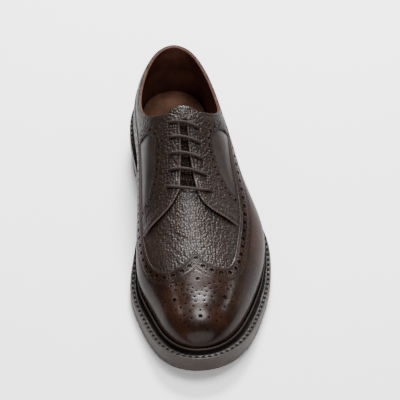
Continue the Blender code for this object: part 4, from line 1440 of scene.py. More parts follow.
@dataclass
class Upper:
    """Leather upper: vamp, side panels, wing cap, facings and lining, with punching and stitching."""

    last: ShoeLast
    finishes: Finishes
    repeats: Repeats
    punching: Punching = field(default_factory=Punching)
    seams: Seams = field(default_factory=Seams)
    age: BurnishAndPaintedLight = BurnishAndPaintedLight()
    facet: float = 1.5
    lining_facet: float = 3.0
    base_below: float = 1.5
    base_inner: float = 2.3
    wing_inner: float = 1.6
    facing_inner: float = 2.05
    lining_below: float = 2.0
    lining_inner: float = 3.3
    round_at: tuple[float, ...] = (0, 0.3, 0.8, 1.4)
    round_depth: tuple[float, ...] = (0.42, 0.14, 0.03, 0)
    roll_at: tuple[float, ...] = (0, 1.0, 3.0)
    roll_depth: tuple[float, ...] = (0.7, 0.15, 0)
    roll_out: float = 0.25
    line_step: float = 0.12
    seam_step: float = 0.6
    wing_step: float = 0.75
    wing_step_run: float = 7.0
    flap_lift: float = 1.5
    flap_lift_run: float = 12.0
    inner_lift: float = 1.55
    wing_clear_run: float = 14.0
    toe_crown: float = 1.2
    crown_station: float = 262.5
    crown_reach: tuple[float, float] = (12.0, 16.0)
    panel_swell: float = 0.4
    swell_run: float = 9.0
    waviness: float = 0.07
    wave_size: float = 16.0
    hole_lip: float = 0.06
    hole_lip_width: float = 0.4
    hole_wall_fit: float = 0.985
    hole_wall_below: float = 0.2
    stitch_proud: float = 0.06
    wrinkles_from: tuple[float, float] = (213, 221)
    wrinkles_to: tuple[float, float] = (228, 240)
    wrinkles_half: float = 16.0
    creases: tuple[Crease, ...] = (
        Crease(199, -6, 46, 3.4, 0.20, 0.10), Crease(206, 9, 40, 3.0, 0.14, -0.12),
        Crease(192, 20, 26, 2.8, 0.12, -0.30), Crease(191, -20, 24, 2.8, 0.12, 0.32),
    )

    def __post_init__(self) -> None:
        """Sets out the pattern and cuts it into facets."""
        self.pattern = FlatPattern(self.last)
        self.lines = PatternLines(self.pattern, self.punching, self.seams)
        self.cut = PatternCut(self.lines, self.facet, fine=True)
        LOG.info("pattern: %d facets, %d holes", len(self.cut.faces), len(self.lines.holes))

    def from_lines(self, points: Array, *groups: dict[Side, Array]) -> Array:
        """Distance of points from flat lines of both sides."""
        return self.from_rows(points, [line for group in groups for line in group.values()])

    def from_rows(self, points: Array, rows: Sequence[Array]) -> Array:
        """Distance of points from stitch rows."""
        close = [self.pattern.spaced(row, self.line_step) for row in rows if len(row) > 1]
        return nearest(points, self.pattern.point(np.vstack(close)))

    def edge_round(self, distance: Array) -> Array:
        """Depth of a rounded edge at a distance from it."""
        return np.interp(distance, self.round_at, self.round_depth)

    def channel(self, distance: Array) -> Array:
        """Depth of the channel that a stitch row pulls into the leather."""
        return self.seams.channel_depth * bell(distance, self.seams.channel_half)

    def lips(self, points: Array, panel: Panel) -> Array:
        """Depth of the leather drawn down round the holes of a panel."""
        depth = np.zeros(len(points))
        for hole in self.lines.holes:
            if hole.panel is not panel:
                continue
            centre = self.pattern.point(hole.centre[None])[0]
            near = np.linalg.norm(points - centre, axis=1)
            lip = self.hole_lip * bell(near - hole.radius, self.hole_lip_width)
            depth += np.where(near < hole.radius + 2, lip, 0)
        return depth

    def waves(self, points: Array) -> Array:
        """Slight unevenness of leather drawn over a last."""
        return self.waviness * np.array([noise.noise(Vector(spot)) for spot in points / self.wave_size])

    def wing_depth(self, points: Array) -> Array:
        """Depth of the wing's leather below the form."""
        edge = self.from_lines(points, self.lines.wing, self.lines.seam)
        rows = self.from_rows(points, self.lines.wing_rows)
        relief = self.edge_round(edge) + self.channel(rows) + self.lips(points, Panel.WING)
        return relief + self.waves(points) + self.toe_shape(points)

    def toe_shape(self, points: Array) -> Array:
        """Depth, below 0, that gives the toe its crown."""
        along, across = self.crown_reach
        away = ((points[:, 0] - self.crown_station) / along) ** 2
        return -self.toe_crown * np.exp(-away - (points[:, 1] / across) ** 2)

    def facing_lift(self, points: Array) -> Array:
        """How far the front edges of the facings stand up from the vamp."""
        flap = self.from_lines(points, self.lines.flap)
        wing = self.from_lines(points, self.lines.wing)
        clear = smoothstep(0, self.wing_clear_run, wing)
        return self.flap_lift * (1 - smoothstep(0, self.flap_lift_run, flap)) * clear

    def facing_depth(self, points: Array) -> Array:
        """Depth of the facings' leather below the form: it dips where the wing overlaps it."""
        lines = self.lines
        free = self.from_lines(points, lines.slot, lines.flap, lines.panel, lines.collar, lines.seam)
        wing = self.from_lines(points, lines.wing)
        rows = self.from_rows(points, lines.facing_rows)
        dip = self.wing_step * (1 - smoothstep(0, self.wing_step_run, wing))
        relief = self.edge_round(free) + self.channel(rows) + self.lips(points, Panel.FACING)
        return relief + dip + self.waves(points) - self.facing_lift(points)

    def base_depth(self, points: Array) -> Array:
        """Depth of the vamp below the form, with the soft creases of the flexing line."""
        depth = self.base_below + self.waves(points)
        for crease in self.creases:
            across = points[:, 1] - crease.across
            along = points[:, 0] - crease.station - crease.slant * across
            fade = np.exp(-(across / (0.5 * crease.length)) ** 4)
            ridge = bell(along - 2.1 * crease.width, crease.width)
            depth += crease.depth * fade * (bell(along, crease.width) - 0.5 * ridge)
        return depth

    def panel_depth(self, points: Array) -> Array:
        """Depth of the side panels, which swell slightly between the edges that hold them."""
        edge = self.from_lines(points, self.lines.panel, self.lines.wing)
        return self.base_below - self.panel_swell * smoothstep(0, self.swell_run, edge) + self.waves(points)

    def burnish(self, points: Array, panel: Panel) -> Array:
        """Share by which the leather's colour is darkened: burnish and painted shade along the panels'
        edges, painted shade low on the sides, and burnish with painted shade in the wing's band.
        """
        lines = self.lines
        edge = self.from_lines(points, lines.wing, lines.panel, lines.flap)
        low = points[:, 2] - welt_top(points[:, 0])
        age = self.age
        # Burnish with painted shade along the panels' edges, painted shade low on the sides, and burnish
        # with painted shade in the wing's band
        shade = age.seam * np.exp(-edge / age.seam_width)
        shade += age.low * np.exp(-np.maximum(low, 0) / age.low_width)
        if panel is Panel.WING:
            shade += age.band * bell(self.from_rows(points, lines.wing_rows), age.band_width)
        return np.clip(shade, 0, age.darkest)

    def wear(self, points: Array, panel: Panel) -> Array:
        """Share of painted highlight along the facings' free edges and the wing's edge, where the rounded
        edges catch the light.
        """
        if panel is Panel.FACING:
            return bell(self.from_lines(points, self.lines.slot, self.lines.flap), self.age.flap_wear_width)
        if panel is Panel.WING:
            edge = self.from_lines(points, self.lines.wing)
            return self.age.wing_wear * bell(edge, self.age.wing_wear_width)
        return np.zeros(len(points))

    def wrinkles(self, points: Array) -> Array:
        """Share of the fine wrinkles in front of the wing's peak."""
        station = points[:, 0]
        ahead = smoothstep(*self.wrinkles_from, station) * (1 - smoothstep(*self.wrinkles_to, station))
        return ahead * bell(points[:, 1], self.wrinkles_half)

    def sheet(self, name: str, cut: PatternCut, pick: Array, depth: Array, inner: Any, panel: Panel,
              materials: Sequence[Material], closed_seam: bool = False) -> Mesh:
        """Leather sheet of some facets.

        Args:
            name: name of the mesh.
            cut: the facets.
            pick: which facets the sheet has.
            depth: depth of its outer face below the form, for each point of the cut.
            inner: depth of its inner face.
            panel: panel whose burnish, painted shade and painted highlights it takes.
            materials: leather, cut edge, and inner face.
            closed_seam: whether its two ends are joined at the back seam.

        Returns:
            A closed mesh.
        """
        used, local = np.unique(cut.faces[pick], return_inverse=True)
        local = local.reshape(-1, 3)[:, ::-1]
        count = len(used)
        form, normal = cut.form[used], cut.normal[used]
        inner = np.broadcast_to(inner, cut.form.shape[:1])[used]
        points = np.concatenate([form - normal * depth[used][:, None], form - normal * inner[:, None]])
        rim = rim_of(local)
        if closed_seam:
            at_seam = cut.points[used][:, 1] < 0.01
            rim = rim[~(at_seam[rim[:, 0]] & at_seam[rim[:, 1]])]
        walls = rim_walls(rim, count)
        values = {"burnish": self.burnish(form, panel), "wrinkle": self.wrinkles(form),
                  "wear": self.wear(form, panel)}
        values = {key: np.tile(value, 2) for key, value in values.items()}
        faces = (local, walls, local[:, ::-1] + count)
        mesh = make_mesh(self.last, name, points, faces, materials, (0, 1, 2), values)
        if closed_seam:
            self.weld(mesh)
        return mesh

    @staticmethod
    def weld(mesh: Mesh) -> None:
        """Joins the points that lie on each other at the back seam."""
        work = bmesh.new()
        work.from_mesh(mesh)
        bmesh.ops.remove_doubles(work, verts=work.verts, dist=0.02 * MM)
        work.to_mesh(mesh)
        work.free()

    def form_at(self, flat: Array) -> tuple[Array, Array]:
        """Points and normals of the form at flat points."""
        place = self.pattern.unflat(flat)
        return self.last.point(*place), self.last.normal(*place)

    def seam_run(self, row: Array, depth: Curve) -> tuple[Array, Array]:
        """Points and normals along a stitch row on the leather's surface."""
        form, normal = self.form_at(self.pattern.spaced(row, self.seam_step))
        return form - normal * (depth(form) - self.stitch_proud)[:, None], normal

    def build(self) -> None:
        """Makes every leather piece of the upper and dresses it."""
        cut, finishes = self.cut, self.finishes
        leather = (finishes.grained, finishes.cut, finishes.grained)
        smooth = (finishes.smooth, finishes.cut, finishes.smooth)
        form = cut.form
        leaf = {side: cut.facets(Panel.SIDE_PANEL, side) for side in Side}
        base = ~(leaf[Side.LATERAL] | leaf[Side.MEDIAL])
        depth = self.base_depth(form)
        mesh = self.sheet("vamp", cut, base, depth, self.base_inner, Panel.VAMP, leather, True)
        add_piece("vamp", mesh, Slot.GRAINED, ["upper"])
        depth = self.panel_depth(form)
        side_leather = (finishes.side, finishes.cut, finishes.side)
        for side, pick in leaf.items():
            name = f"side_panel_{side.name.lower()}"
            mesh = self.sheet(name, cut, pick, depth, self.base_inner, Panel.SIDE_PANEL, side_leather)
            add_piece(name, mesh, Slot.SMOOTH, ["upper"])
        depth = self.wing_depth(form)
        pick = cut.facets(Panel.WING) & ~cut.punched
        mesh = self.sheet("wing_cap_leather", cut, pick, depth, self.wing_inner, Panel.WING, smooth)
        add_piece("wing_cap_leather", mesh, Slot.SMOOTH, ["wing_cap"])
        depth = self.facing_depth(form)
        inner = self.facing_inner - self.inner_lift * self.facing_lift(form)
        for side in Side:
            name = f"facing_{side.name.lower()}"
            pick = cut.facets(Panel.FACING, side) & ~cut.punched
            mesh = self.sheet(f"{name}_leather", cut, pick, depth, inner, Panel.FACING, leather)
            add_piece(f"{name}_leather", mesh, Slot.GRAINED, [name])
        self.add_lining()
        self.add_stitches()
        self.add_hole_walls()

    def add_lining(self) -> None:
        """Lining of the whole upper, from the collar down to the insole."""
        cut = PatternCut(self.lines, self.lining_facet, fine=False)
        collar = self.from_lines(cut.form, self.lines.collar, self.lines.slot)
        rolled = np.interp(collar, self.roll_at, self.roll_depth)
        inner = self.lining_inner - rolled
        depth = np.full(len(cut.form), self.lining_below) - self.roll_out * rolled
        every = np.ones(len(cut.faces), bool)
        leather = (self.finishes.lining,) * 3
        mesh = self.sheet("lining_leather", cut, every, depth, inner, Panel.VAMP, leather, True)
        add_piece("lining_leather", mesh, Slot.LINING, ["upper"])

    def add_stitches(self) -> None:
        """Stitch rows of the wing and the facings."""
        seams = self.seams
        sizes = {"Pitch": seams.pitch, "Length": seams.length, "Width": seams.width, "Height": seams.height}
        jobs = (("wing_stitches", self.lines.wing_rows, self.wing_depth),
                ("facing_stitches", self.lines.facing_rows, self.facing_depth))
        for name, rows, depth in jobs:
            runs = [self.seam_run(row, depth) for row in rows if len(row) > 4]
            mesh = self.repeats.stitches(self.last, name, runs, sizes, self.finishes.thread)
            add_piece(name, mesh, Slot.LACE)

    def add_hole_walls(self) -> None:
        """Near-black walls inside the punched holes: painted shade that darkens them."""
        holes = self.lines.holes
        form, normal = self.form_at(np.array([hole.centre for hole in holes]))
        radii = np.array([hole.radius for hole in holes]) * self.hole_wall_fit
        in_wing = np.array([hole.panel is Panel.WING for hole in holes])
        below = self.hole_wall_below + self.toe_shape(form) * in_wing
        mesh = self.repeats.walls(self.last, "hole_walls", form - below[:, None] * normal, normal, radii,
                                  self.punching.wall_depth, self.finishes.punched)
        add_piece("hole_walls", mesh, Slot.SMOOTH)


def grid_faces(rows: int, columns: int, wrap: bool = False) -> Array:
    """Four-sided faces of a grid of points, row after row, closed across the columns if it wraps."""
    r, c = np.meshgrid(np.arange(rows - 1), np.arange(columns if wrap else columns - 1), indexing="ij")
    after = (c + 1) % columns
    corners = [r * columns + c, r * columns + after, (r + 1) * columns + after, (r + 1) * columns + c]
    return np.stack(corners, axis=-1).reshape(-1, 4)


@dataclass
class Tongue:
    """Tongue under the facings, with an arched top edge."""

    last: ShoeLast
    finishes: Finishes
    below: float = 3.8
    thick: float = 1.8
    head_station: float = 101.4
    arch: float = 7.0
    rows: int = 90
    columns: int = 44
    shade_station: float = 112.0
    vamp_station: float = 167.0
    rise_run: float = 11.0
    rise: float = 2.0

    def build(self) -> None:
        """Makes the tongue's two faces and its rim."""
        stations, halves, _ = np.array(TONGUE_EDGE).T
        half_at = natural_spline(-stations, halves)
        foot, head = stations[0], stations[-1]
        way = np.repeat(np.linspace(0, 1, self.rows), self.columns)
        column = np.tile(np.linspace(-1, 1, self.columns), self.rows)
        top = self.head_station + self.arch * column**4
        station = foot + (top - foot) * way
        girth = column * half_at(-np.maximum(station, head))
        row = self.last.row_of(station)
        edge = np.minimum((1 - way) * (foot - head), (1 - np.abs(column)) * 20)
        rounding = np.interp(edge, [0, 0.5, 1.5], [0.5, 0.15, 0])
        lifted = self.rise * smoothstep(self.vamp_station - self.rise_run, self.vamp_station, station)
        below = self.below - lifted + rounding
        outer = self.last.place(row, girth, below)
        inner = self.last.place(row, girth, self.below - lifted + self.thick)
        count = len(outer)
        faces = grid_faces(self.rows, self.columns)
        # Faces past shade_station, between the facings under the lace, take the darker copy of the leather:
        # painted shade
        shaded = station[faces].mean(axis=1) > self.shade_station
        triangles = np.concatenate([faces[:, [0, 1, 2]], faces[:, [0, 2, 3]]])
        rim = rim_of(triangles)
        walls = rim_walls(rim, count)
        finishes = self.finishes
        mesh = make_mesh(self.last, "tongue_leather", np.concatenate([outer, inner]),
                         (faces[~shaded], faces[shaded], walls, faces[:, ::-1] + count),
                         (finishes.grained, finishes.shaded, finishes.cut, finishes.lining), (0, 1, 2, 3),
                         {"burnish": np.zeros(2 * count)})
        add_piece("tongue_leather", mesh, Slot.GRAINED, ["tongue"])


@dataclass
class Lacing:
    """Five straight bars of a round lace, each going down through a pair of eyelets."""

    last: ShoeLast
    finishes: Finishes
    radius: float = 1.25
    sides: int = 12
    rings: int = 56
    tail_depth: float = 3.0
    skew: float = 2.3            # outer eyelets lie this far further forward, inner ones further back
    eyelet_share: float = 1.07   # an eyelet lies this share of the way from the ridge to the bar's end
    front_slack: float = 2.6     # the front bar bends this far forward in its middle

    def route(self, knot: Knot) -> Array:
        """Centre line of one bar, from under the inner facing to under the outer one."""
        over = self.radius + GAP
        # Share of the way from the ridge to the bar's end, and height above the leather
        stops = ((1.075, -self.tail_depth), (1.07, -0.9), (1.035, 0.75), (0.95, over), (0.72, over + 0.14),
                 (0.42, over + 0.29))
        plan = [(Side.MEDIAL, *stop) for stop in stops] + [(Side.LATERAL, *stop) for stop in stops[::-1]]
        places = []
        slack = self.front_slack if knot is EYELETS[-1] else 0.0
        for side, share, above in plan:
            station = knot.station + self.skew * side * share + slack * (1 - share**2)
            girth = side * share * (knot.lateral if side > 0 else knot.medial)
            places.append(self.last.place(self.last.row_of([station]), np.array([girth]), -above)[0])
        places = np.array(places)
        way = path_lengths(places)
        return natural_spline(way, places)(np.linspace(0, way[-1], self.rings))

    def tube(self, name: str, route: Array) -> Mesh:
        """Round tube along a route, closed at its ends, with its way and turn for the braid."""
        along = unit(np.gradient(route, axis=0))
        side = unit(np.cross(along[0], (0, 0, 1.0)))
        points = []
        for centre, tangent in zip(route, along):
            side = unit(side - tangent * (side @ tangent))
            up = np.cross(side, tangent)
            angles = np.linspace(0, 2 * np.pi, self.sides, endpoint=False)[:, None]
            points.append(centre + self.radius * (np.cos(angles) * side + np.sin(angles) * up))
        faces = grid_faces(self.rings, self.sides, wrap=True)
        last_ring = (self.rings - 1) * self.sides
        caps = np.array([np.arange(self.sides), last_ring + np.arange(self.sides)[::-1]])
        faces = (faces[:, ::-1], caps)
        mesh = make_mesh(self.last, name, np.concatenate(points), faces, (self.finishes.braid,))
        self.map_braid(mesh, path_lengths(route) * MM)
        return mesh

    def map_braid(self, mesh: Mesh, way: Array) -> None:
        """Gives each corner its way along the lace, in metres, and its share of a turn."""
        layer = mesh.uv_layers.new(name="braid")
        for face in mesh.polygons:
            turns = [mesh.loops[k].vertex_index % self.sides for k in face.loop_indices]
            wraps = len(turns) == 4 and max(turns) - min(turns) > 1
            for k, turn in zip(face.loop_indices, turns):
                ring = mesh.loops[k].vertex_index // self.sides
                turned = turn + (self.sides if wraps and turn == 0 else 0)
                layer.data[k].uv = (way[ring], turned / self.sides)

    def build(self) -> None:
        """Makes the five bars."""
        for number, knot in enumerate(EYELETS, start=1):
            name = f"lace_run_{number}"
            add_piece(name, self.tube(name, self.route(knot)), Slot.LACE, [f"lace_bar_{number}"])


def loft(loops: Sequence[Array], front: int = 1) -> tuple[Array, list[Array]]:
    """Solid through loops, from the bottom up.

    Args:
        loops: closed loops with as many points each, round the outer side and back along the inner one.
        front: how many points to each side of a loop's middle its last cap face takes in.

    Returns:
        Its points, and its faces in groups of like size.
    """
    count = len(loops[0])
    half = count // 2
    sides = grid_faces(len(loops), count, wrap=True)[:, [0, 3, 2, 1]]
    strips, ends = [], []
    for start, bottom in ((0, True), ((len(loops) - 1) * count, False)):
        turn = 1 if bottom else -1
        for j in range(1, half - front):
            strips.append([start + k for k in (j, j + 1, count - j - 1, count - j)[::turn]])
        ends.append([[start + k for k in (0, 1, count - 1)[::turn]]])
        ends.append([[start + k for k in list(range(half - front, half + front + 1))[::turn]]])
    return np.concatenate(loops), [sides, np.array(strips), *ends]


@dataclass
class SoleUnit:
    """Insole, welt with its bead and stitches, and outsole."""

    last: ShoeLast
    finishes: Finishes
    repeats: Repeats
    steps: int = 480
    welt_thick: float = 3.2
    welt_inside: float = 6.0
    insole_inside: float = 4.2
    insole_thick: float = 2.7
    edge_bevel: float = 1.0
    bead_foot: float = 0.5
    bead_width: float = 1.4
    groove_width: float = 2.2
    groove_depth: float = 1.1
    stitch_inset: float = 2.3
    stitch_groove: float = 0.2
    stitch_pitch: float = 5.3
    stitch_length: float = 3.2
    stitch_width: float = 1.5
    stitch_height: float = 1.0
    pit_depth: float = 0.75
    pit_half: float = 1.1
    # Strength of the painted highlight on the bead's crest and the outer rim, and of the painted shade in
    # the groove and the stitch marks
    crest_wear: float = 0.8
    rim_wear: float = 0.45
    groove_dark: float = 0.9
    pit_dark: float = 0.85

    def __post_init__(self) -> None:
        """Spaces the rows evenly along the sole, and the stitches round it."""
        self.rows = self.last.sole_rows(self.steps)
        loop = self.last.sole_loop(self.rows, lambda rows: reach_at(rows) - self.inset(rows))
        self.stitch_line = np.vstack([loop, loop[:1]])
        way = path_lengths(self.stitch_line)
        count = round(way[-1] / self.stitch_pitch)
        self.stitch_pitch = way[-1] / count
        phase = way[:-1] / self.stitch_pitch
        self.pits = np.clip(np.cos(2 * np.pi * phase), 0, 1)**2

    def inset(self, rows: Array) -> Array:
        """Distance of the stitches from the welt's outer edge."""
        return np.minimum(self.stitch_inset, 0.4 * (reach_at(rows) - self.bead_foot - 0.5 * self.bead_width))

    def solid(self, name: str, levels: Sequence[tuple[Curve, Curve]],
              material: Material) -> Mesh:
        """Solid through loops round the sole.

        Args:
            name: name of the mesh.
            levels: distance outside the feather edge and height of each loop, from the bottom up.
            material: its material.

        Returns:
            A closed mesh whose points know their height below the welt's top.
        """
        points, faces = loft([self.last.sole_loop(self.rows, *level) for level in levels])
        height = points[:, 2] - welt_top(points[:, 0])
        values = {"edge_height": height}
        return make_mesh(self.last, name, points, faces, (material,), values=values, sharp=35)

    def build(self) -> None:
        """Makes the three layers and the welt's stitches."""
        self.add_insole()
        self.add_outsole()
        self.add_welt()

    def add_insole(self) -> None:
        """Insole, rounded along its upper edge."""
        top = GAP + self.insole_thick
        levels = []
        for inset, height in ((0, GAP), (0, top - 0.8), (0.3, top - 0.2), (1.0, top)):
            levels.append((lambda rows, i=inset: -self.insole_inside - i + 0 * rows,
                           lambda s, h=height: welt_top(s) + h))
        mesh = self.solid("insole_leather", levels, self.finishes.insole)
        add_piece("insole_leather", mesh, Slot.LINING, ["insole"])

    def add_outsole(self) -> None:
        """Outsole: bevelled tread edge, slightly crowned side, and the raised middle inside the welt."""
        bevel, under = self.edge_bevel, self.welt_thick + 0.02

        def side(inset: float, share: float) -> tuple[Curve, Curve]:
            """Loop on the sole's edge, at a share of the way from the tread up to the welt."""
            return (lambda rows: reach_at(rows) - inset,
                    lambda s: tread(s) + bevel + share * (welt_top(s) - under - tread(s) - bevel))

        middle = -self.welt_inside - GAP
        levels = [
            (lambda rows: reach_at(rows) - bevel, tread),
            (lambda rows: reach_at(rows) - 0.55 * bevel, lambda s: tread(s) + 0.3 * bevel),
            side(0.2 * bevel, 0.0), side(0.05, 0.3), side(0.0, 0.6), side(0.04, 0.9), side(0.22, 1.0),
            (lambda rows: middle + 0 * rows, lambda s: welt_top(s) - under),
            (lambda rows: middle + 0 * rows, welt_top),
        ]
        mesh = self.solid("outsole_leather", levels, self.finishes.edge)
        add_piece("outsole_leather", mesh, Slot.SOLE, ["outsole"])

    def welt_profile(self, side: Side, pits: Array) -> list[tuple[Array, Array]]:
        """Section of the welt, point by point.

        Args:
            side: side of the shoe.
            pits: depth of the marks under the stitches, as a share, at each row.

        Returns:
            Distance outside the feather edge and rise above the welt's top, for each point.
        """
        rows = self.rows
        bead, reach, still = bead_at(rows), reach_at(rows), 0 * rows
        crest = self.bead_foot + self.last.lean(rows, side) * bead
        width = self.bead_width
        stops = np.array([(self.bead_foot + still, still), (crest + 0.1, bead),
                          (crest + 0.35 * width, bead + 0.35), (crest + 0.75 * width, 0.7 * bead),
                          (crest + width, still - 0.2)])
        curve = natural_spline(np.arange(5), stops)
        profile = [(-self.welt_inside + still, still - self.welt_thick), (-self.welt_inside + still, still)]
        profile += [tuple(curve(t)) for t in np.linspace(0, 4, 15)]
        foot = crest + width
        line = reach - self.inset(rows)
        half = np.minimum(self.pit_half, 0.8 * self.inset(rows))
        groove = np.minimum(self.groove_width, 0.6 * np.maximum(line - half - foot, 0.1))
        sink = np.minimum(self.groove_depth, 0.6 * groove)
        profile += [(foot + 0.3 * groove, -sink), (foot + 0.65 * groove, -0.8 * sink),
                    (foot + groove, still)]
        deep = self.stitch_groove + self.pit_depth * pits
        thick = self.welt_thick
        return profile + [
            (line - half, still), (line - 0.55 * half, still - deep), (line + 0.55 * half, still - deep),
            (line + half, still), (reach - 0.4, still), (reach - 0.12, still - 0.16), (reach, still - 0.5),
            (reach + 0.02, still - 0.55 * thick), (reach - 0.06, still - 0.9 * thick),
            (reach - 0.2, still - thick),
        ]

    def add_welt(self) -> None:
        """Welt: a ring with a rounded bead against the upper, a groove beside it and sunk stitches."""
        rings = []
        pits = (self.pits[:self.steps + 1], np.append(self.pits[self.steps:], self.pits[0])[::-1])
        profiles = [self.welt_profile(side, own) for side, own in zip(Side, pits)]
        for spots in zip(*profiles):
            flat = closed_loop([self.last.edge(self.rows, side, spot[0]) for side, spot in zip(Side, spots)])
            rise = closed_loop([spot[1] for spot in spots])
            rings.append(np.column_stack([flat, welt_top(flat[:, 0]) + rise]))
        count = len(rings[0])
        points = np.concatenate(rings)
        faces = grid_faces(len(rings) + 1, count, wrap=True) % len(points)
        side_rings = 5
        first_side = (len(rings) - side_rings - 1) * count
        is_side = faces.min(axis=1) >= first_side
        height = points[:, 2] - welt_top(points[:, 0])
        ring = np.repeat(np.arange(len(rings)), count)
        on_top = ring < len(rings) - side_rings
        rim = (ring >= len(rings) - side_rings - 1) & (height > -0.6)
        # Painted highlight on the bead's crest and along the outer rim; painted shadow in the groove beside
        # the bead and painted shade in the stitch marks
        crest, groove_end = 9.7, 20
        worn = self.crest_wear * bell(ring - crest, 2.2) + self.rim_wear * rim
        shadow = smoothstep(crest + 2.5, crest + 4, ring) * (ring < groove_end)
        pit = smoothstep(-0.25, -0.6, height) * on_top
        groove_and_pit_shade = np.maximum(self.groove_dark * shadow, self.pit_dark * pit)
        values = {"edge_height": height, "burnish": groove_and_pit_shade, "wear": worn}
        mesh = make_mesh(self.last, "welt_leather", points, (faces[~is_side], faces[is_side]),
                         (self.finishes.welt, self.finishes.edge), (0, 1), values, sharp=50)
        add_piece("welt_leather", mesh, Slot.WELT, ["welt"])
        self.add_welt_stitches()

    def add_welt_stitches(self) -> None:
        """Stitches of a thick thread all round the welt, each pulled down into a mark of its own."""
        way = path_lengths(self.stitch_line)
        end = way[-1] - self.stitch_pitch
        row = np.vstack([self.stitch_line[way < end], along_line(end, way, self.stitch_line)])
        row[:, 2] -= self.stitch_groove + 0.33 * self.pit_depth
        step = np.gradient(row, axis=0)
        slope = step[:, 2] / np.maximum(np.linalg.norm(step[:, :2], axis=1), 1e-6)
        normal = unit(np.column_stack([-slope[:, None] * unit(step[:, :2]), np.ones(len(row))]))
        sizes = {"Pitch": 0.999 * self.stitch_pitch, "Length": self.stitch_length,
                 "Width": self.stitch_width, "Height": self.stitch_height}
        thread = self.finishes.welt_thread
        mesh = self.repeats.stitches(self.last, "welt_stitches", [(row, normal)], sizes, thread)
        add_piece("welt_stitches", mesh, Slot.LACE)


@dataclass
class Heel:
    """Stacked leather heel and the rubber top piece that wears on the floor."""

    last: ShoeLast
    finishes: Finishes
    top_piece: float = 6.0
    inside: float = 0.8
    breast_station: float = 70.0
    breast_hollow: float = 5.0
    breast_steps: int = 14
    steps: int = 70
    lifts: int = 3
    groove: float = 0.22

    def loop(self, distance: float, height: Curve) -> Array:
        """Loop of the heel: the sole's edge round the back, closed by the hollow curve of its breast."""
        rows = self.last.sole_rows(self.steps, self.breast_station)
        share = np.linspace(0, 1, self.breast_steps + 1)[1:]
        beside = 1 - share
        halves = []
        for side in Side:
            edge = self.last.edge(rows, side, reach_at(rows) - distance)
            corner = edge[-1]
            hollow = corner[0] * beside + self.breast_station * share - self.breast_hollow * (1 - beside**2)
            halves.append(np.vstack([edge, np.column_stack([hollow, corner[1] * beside])]))
        flat = closed_loop(halves)
        return np.column_stack([flat, height(flat[:, 0])])

    def solid(self, name: str, loops: Sequence[Array], material: Material) -> Mesh:
        """Closed mesh through loops from the bottom up."""
        points, faces = loft(loops, self.breast_steps + 1)
        values = {"edge_height": points[:, 2]}
        return make_mesh(self.last, name, points, faces, (material,), values=values, sharp=35)

    def build(self) -> None:
        """Makes the lifts of the stack and the top piece."""
        foot = self.top_piece + GAP
        loops = []
        stops = ((0.0, self.groove), (0.06, 0.0), (0.94, 0.0), (1.0, self.groove))
        for lift in range(self.lifts):
            for share, inset in stops[min(lift, 1):]:
                level = (lift + share) / self.lifts
                distance = self.inside * (2.2 - 1.2 * level) + inset
                loops.append(self.loop(distance, lambda s, t=level: foot + t * (tread(s) - 0.02 - foot)))
        stack = self.solid("heel_lifts", loops, self.finishes.edge)
        add_piece("heel_lifts", stack, Slot.SOLE, ["heel_stack"])
        levels = ((3.3, 0.0), (2.75, 0.5), (2.25, foot - 0.5), (2.45, foot - 0.02))
        piece = [self.loop(self.inside * inset, lambda s, z=z: np.full_like(s, z)) for inset, z in levels]
        sole = self.solid("heel_top_piece", piece, self.finishes.rubber)
        add_piece("heel_top_piece", sole, Slot.RUBBER, ["top_piece"])


class SoftBox(NamedTuple):
    """Area light aimed at the shoe: place and sides in metres, brightness, and whether gloss shows it."""

    name: str
    place: tuple[float, float, float]
    width: float
    depth: float
    glow: float
    in_gloss: bool = True


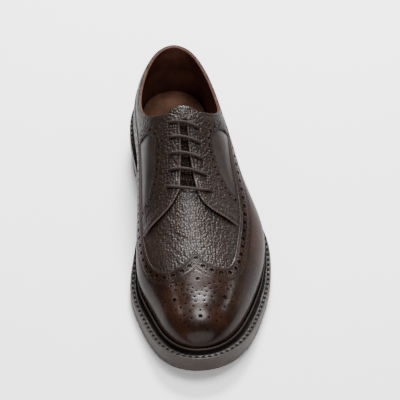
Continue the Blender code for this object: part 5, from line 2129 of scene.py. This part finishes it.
@dataclass
class Studio:
    """Camera at the photograph's angle, pale floor and soft light."""

    azimuth: float = -6.19
    elevation: float = 46.03
    roll: float = 1.43
    distance: float = 2.4
    target: tuple[float, float, float] = (0.0032, 0.0017, 0.0455)
    lens: float = 262.7
    aim: tuple[float, float, float] = (0, 0, 0.04)
    floor_half: float = 6.0
    sky: float = 0.08
    floor_seen: Colour = Colour(2.0, 2.0, 1.99)
    floor_in_gloss: Colour = Colour(0.75, 0.75, 0.75)
    floor_bounce: Colour = Colour(0.5, 0.5, 0.5)
    boxes: tuple[SoftBox, ...] = (
        SoftBox("back_box", (0.13, 0.85, 1.06), 0.44, 0.34, 62.0),
        SoftBox("top_box", (0.09, 0.10, 1.40), 0.62, 0.46, 15.0),
        SoftBox("outer_box", (0.95, 0.40, 0.83), 0.17, 0.17, 11.0),
        SoftBox("inner_box", (-0.76, 0.40, 1.08), 0.16, 0.16, 12.0),
        SoftBox("outer_card", (1.30, 0.90, 0.22), 1.4, 0.7, 1.0),
        SoftBox("front_card", (0.0, -1.7, 0.80), 2.6, 1.5, 1.5),
        SoftBox("ceiling_fill", (0.0, 0.2, 2.2), 2.0, 2.0, 0.8, False),
    )

    def build(self) -> None:
        """Makes the camera, the lights and the floor."""
        self.add_camera()
        self.add_lights()
        self.add_floor()

    def add_camera(self) -> None:
        """Camera that looks at the middle of the shoe, slightly rolled."""
        a, e = math.radians(self.azimuth), math.radians(self.elevation)
        back = Vector((math.sin(a) * math.cos(e), -math.cos(a) * math.cos(e), math.sin(e)))
        data = bpy.data.cameras.new("photo_camera")
        data.lens = self.lens
        data.clip_end = 50.0
        camera = put("photo_camera", data)
        roll = Matrix.Rotation(math.radians(self.roll), 3, "Z")
        turn = (-back).to_track_quat("-Z", "Y").to_matrix() @ roll
        camera.matrix_world = Matrix.Translation(Vector(self.target) + back * self.distance) @ turn.to_4x4()
        bpy.context.scene.camera = camera

    def add_lights(self) -> None:
        """Soft boxes aimed at the shoe, and an even pale surround."""
        aim = Vector(self.aim)
        for box in self.boxes:
            light = bpy.data.lights.new(box.name, "AREA")
            light.shape = "ELLIPSE"
            light.size = box.width
            light.size_y = box.depth
            light.energy = box.glow * math.pi ** 2 / 4 * box.width * box.depth
            lamp = put(box.name, light)
            lamp.visible_glossy = box.in_gloss
            lamp.location = box.place
            lamp.rotation_euler = (aim - Vector(box.place)).to_track_quat("-Z", "Y").to_euler()
        world = bpy.data.worlds.new("surround")
        world.use_nodes = True
        backdrop = world.node_tree.nodes["Background"]
        Wiring(world.node_tree).fill(backdrop, {"Color": Colour(1.0, 1.0, 1.0), "Strength": self.sky})
        bpy.context.scene.world = world

    def add_floor(self) -> None:
        """Plain pale floor, a little darker in the shoe's reflections than in the camera's view."""
        size = self.floor_half
        corners = [(-size, -size, 0), (size, -size, 0), (size, size, 0), (-size, size, 0)]
        mesh = bpy.data.meshes.new("floor")
        mesh.from_pydata(corners, [], [(0, 1, 2, 3)])
        material = bpy.data.materials.new("pale_floor")
        material.use_nodes = True
        nodes = material.node_tree.nodes
        wiring = Wiring(material.node_tree)
        seen = nodes["Principled BSDF"]
        wiring.fill(seen, {"Base Color": self.floor_seen, "Roughness": 0.7})
        bounce = wiring.out("ShaderNodeBsdfDiffuse", {"Color": self.floor_bounce})
        in_gloss = wiring.out("ShaderNodeBsdfDiffuse", {"Color": self.floor_in_gloss})
        path = wiring.add("ShaderNodeLightPath").outputs
        other = wiring.out("ShaderNodeMixShader", {0: path["Is Glossy Ray"], 1: bounce, 2: in_gloss})
        mixed = wiring.out("ShaderNodeMixShader", {0: path["Is Camera Ray"], 1: other, 2: seen.outputs[0]})
        wiring.fill(nodes["Material Output"], {"Surface": mixed})
        mesh.materials.append(material)
        floor = put("floor", mesh)


def main() -> None:
    """Builds the shoe's pieces in order."""
    logging.basicConfig(level=logging.INFO, format="%(message)s")
    last = ShoeLast()
    finishes = Finishes()
    repeats = Repeats()
    Studio().build()
    Upper(last, finishes, repeats).build()
    Tongue(last, finishes).build()
    Lacing(last, finishes).build()
    SoleUnit(last, finishes, repeats).build()
    Heel(last, finishes).build()


if __name__ == "__main__":
    main()
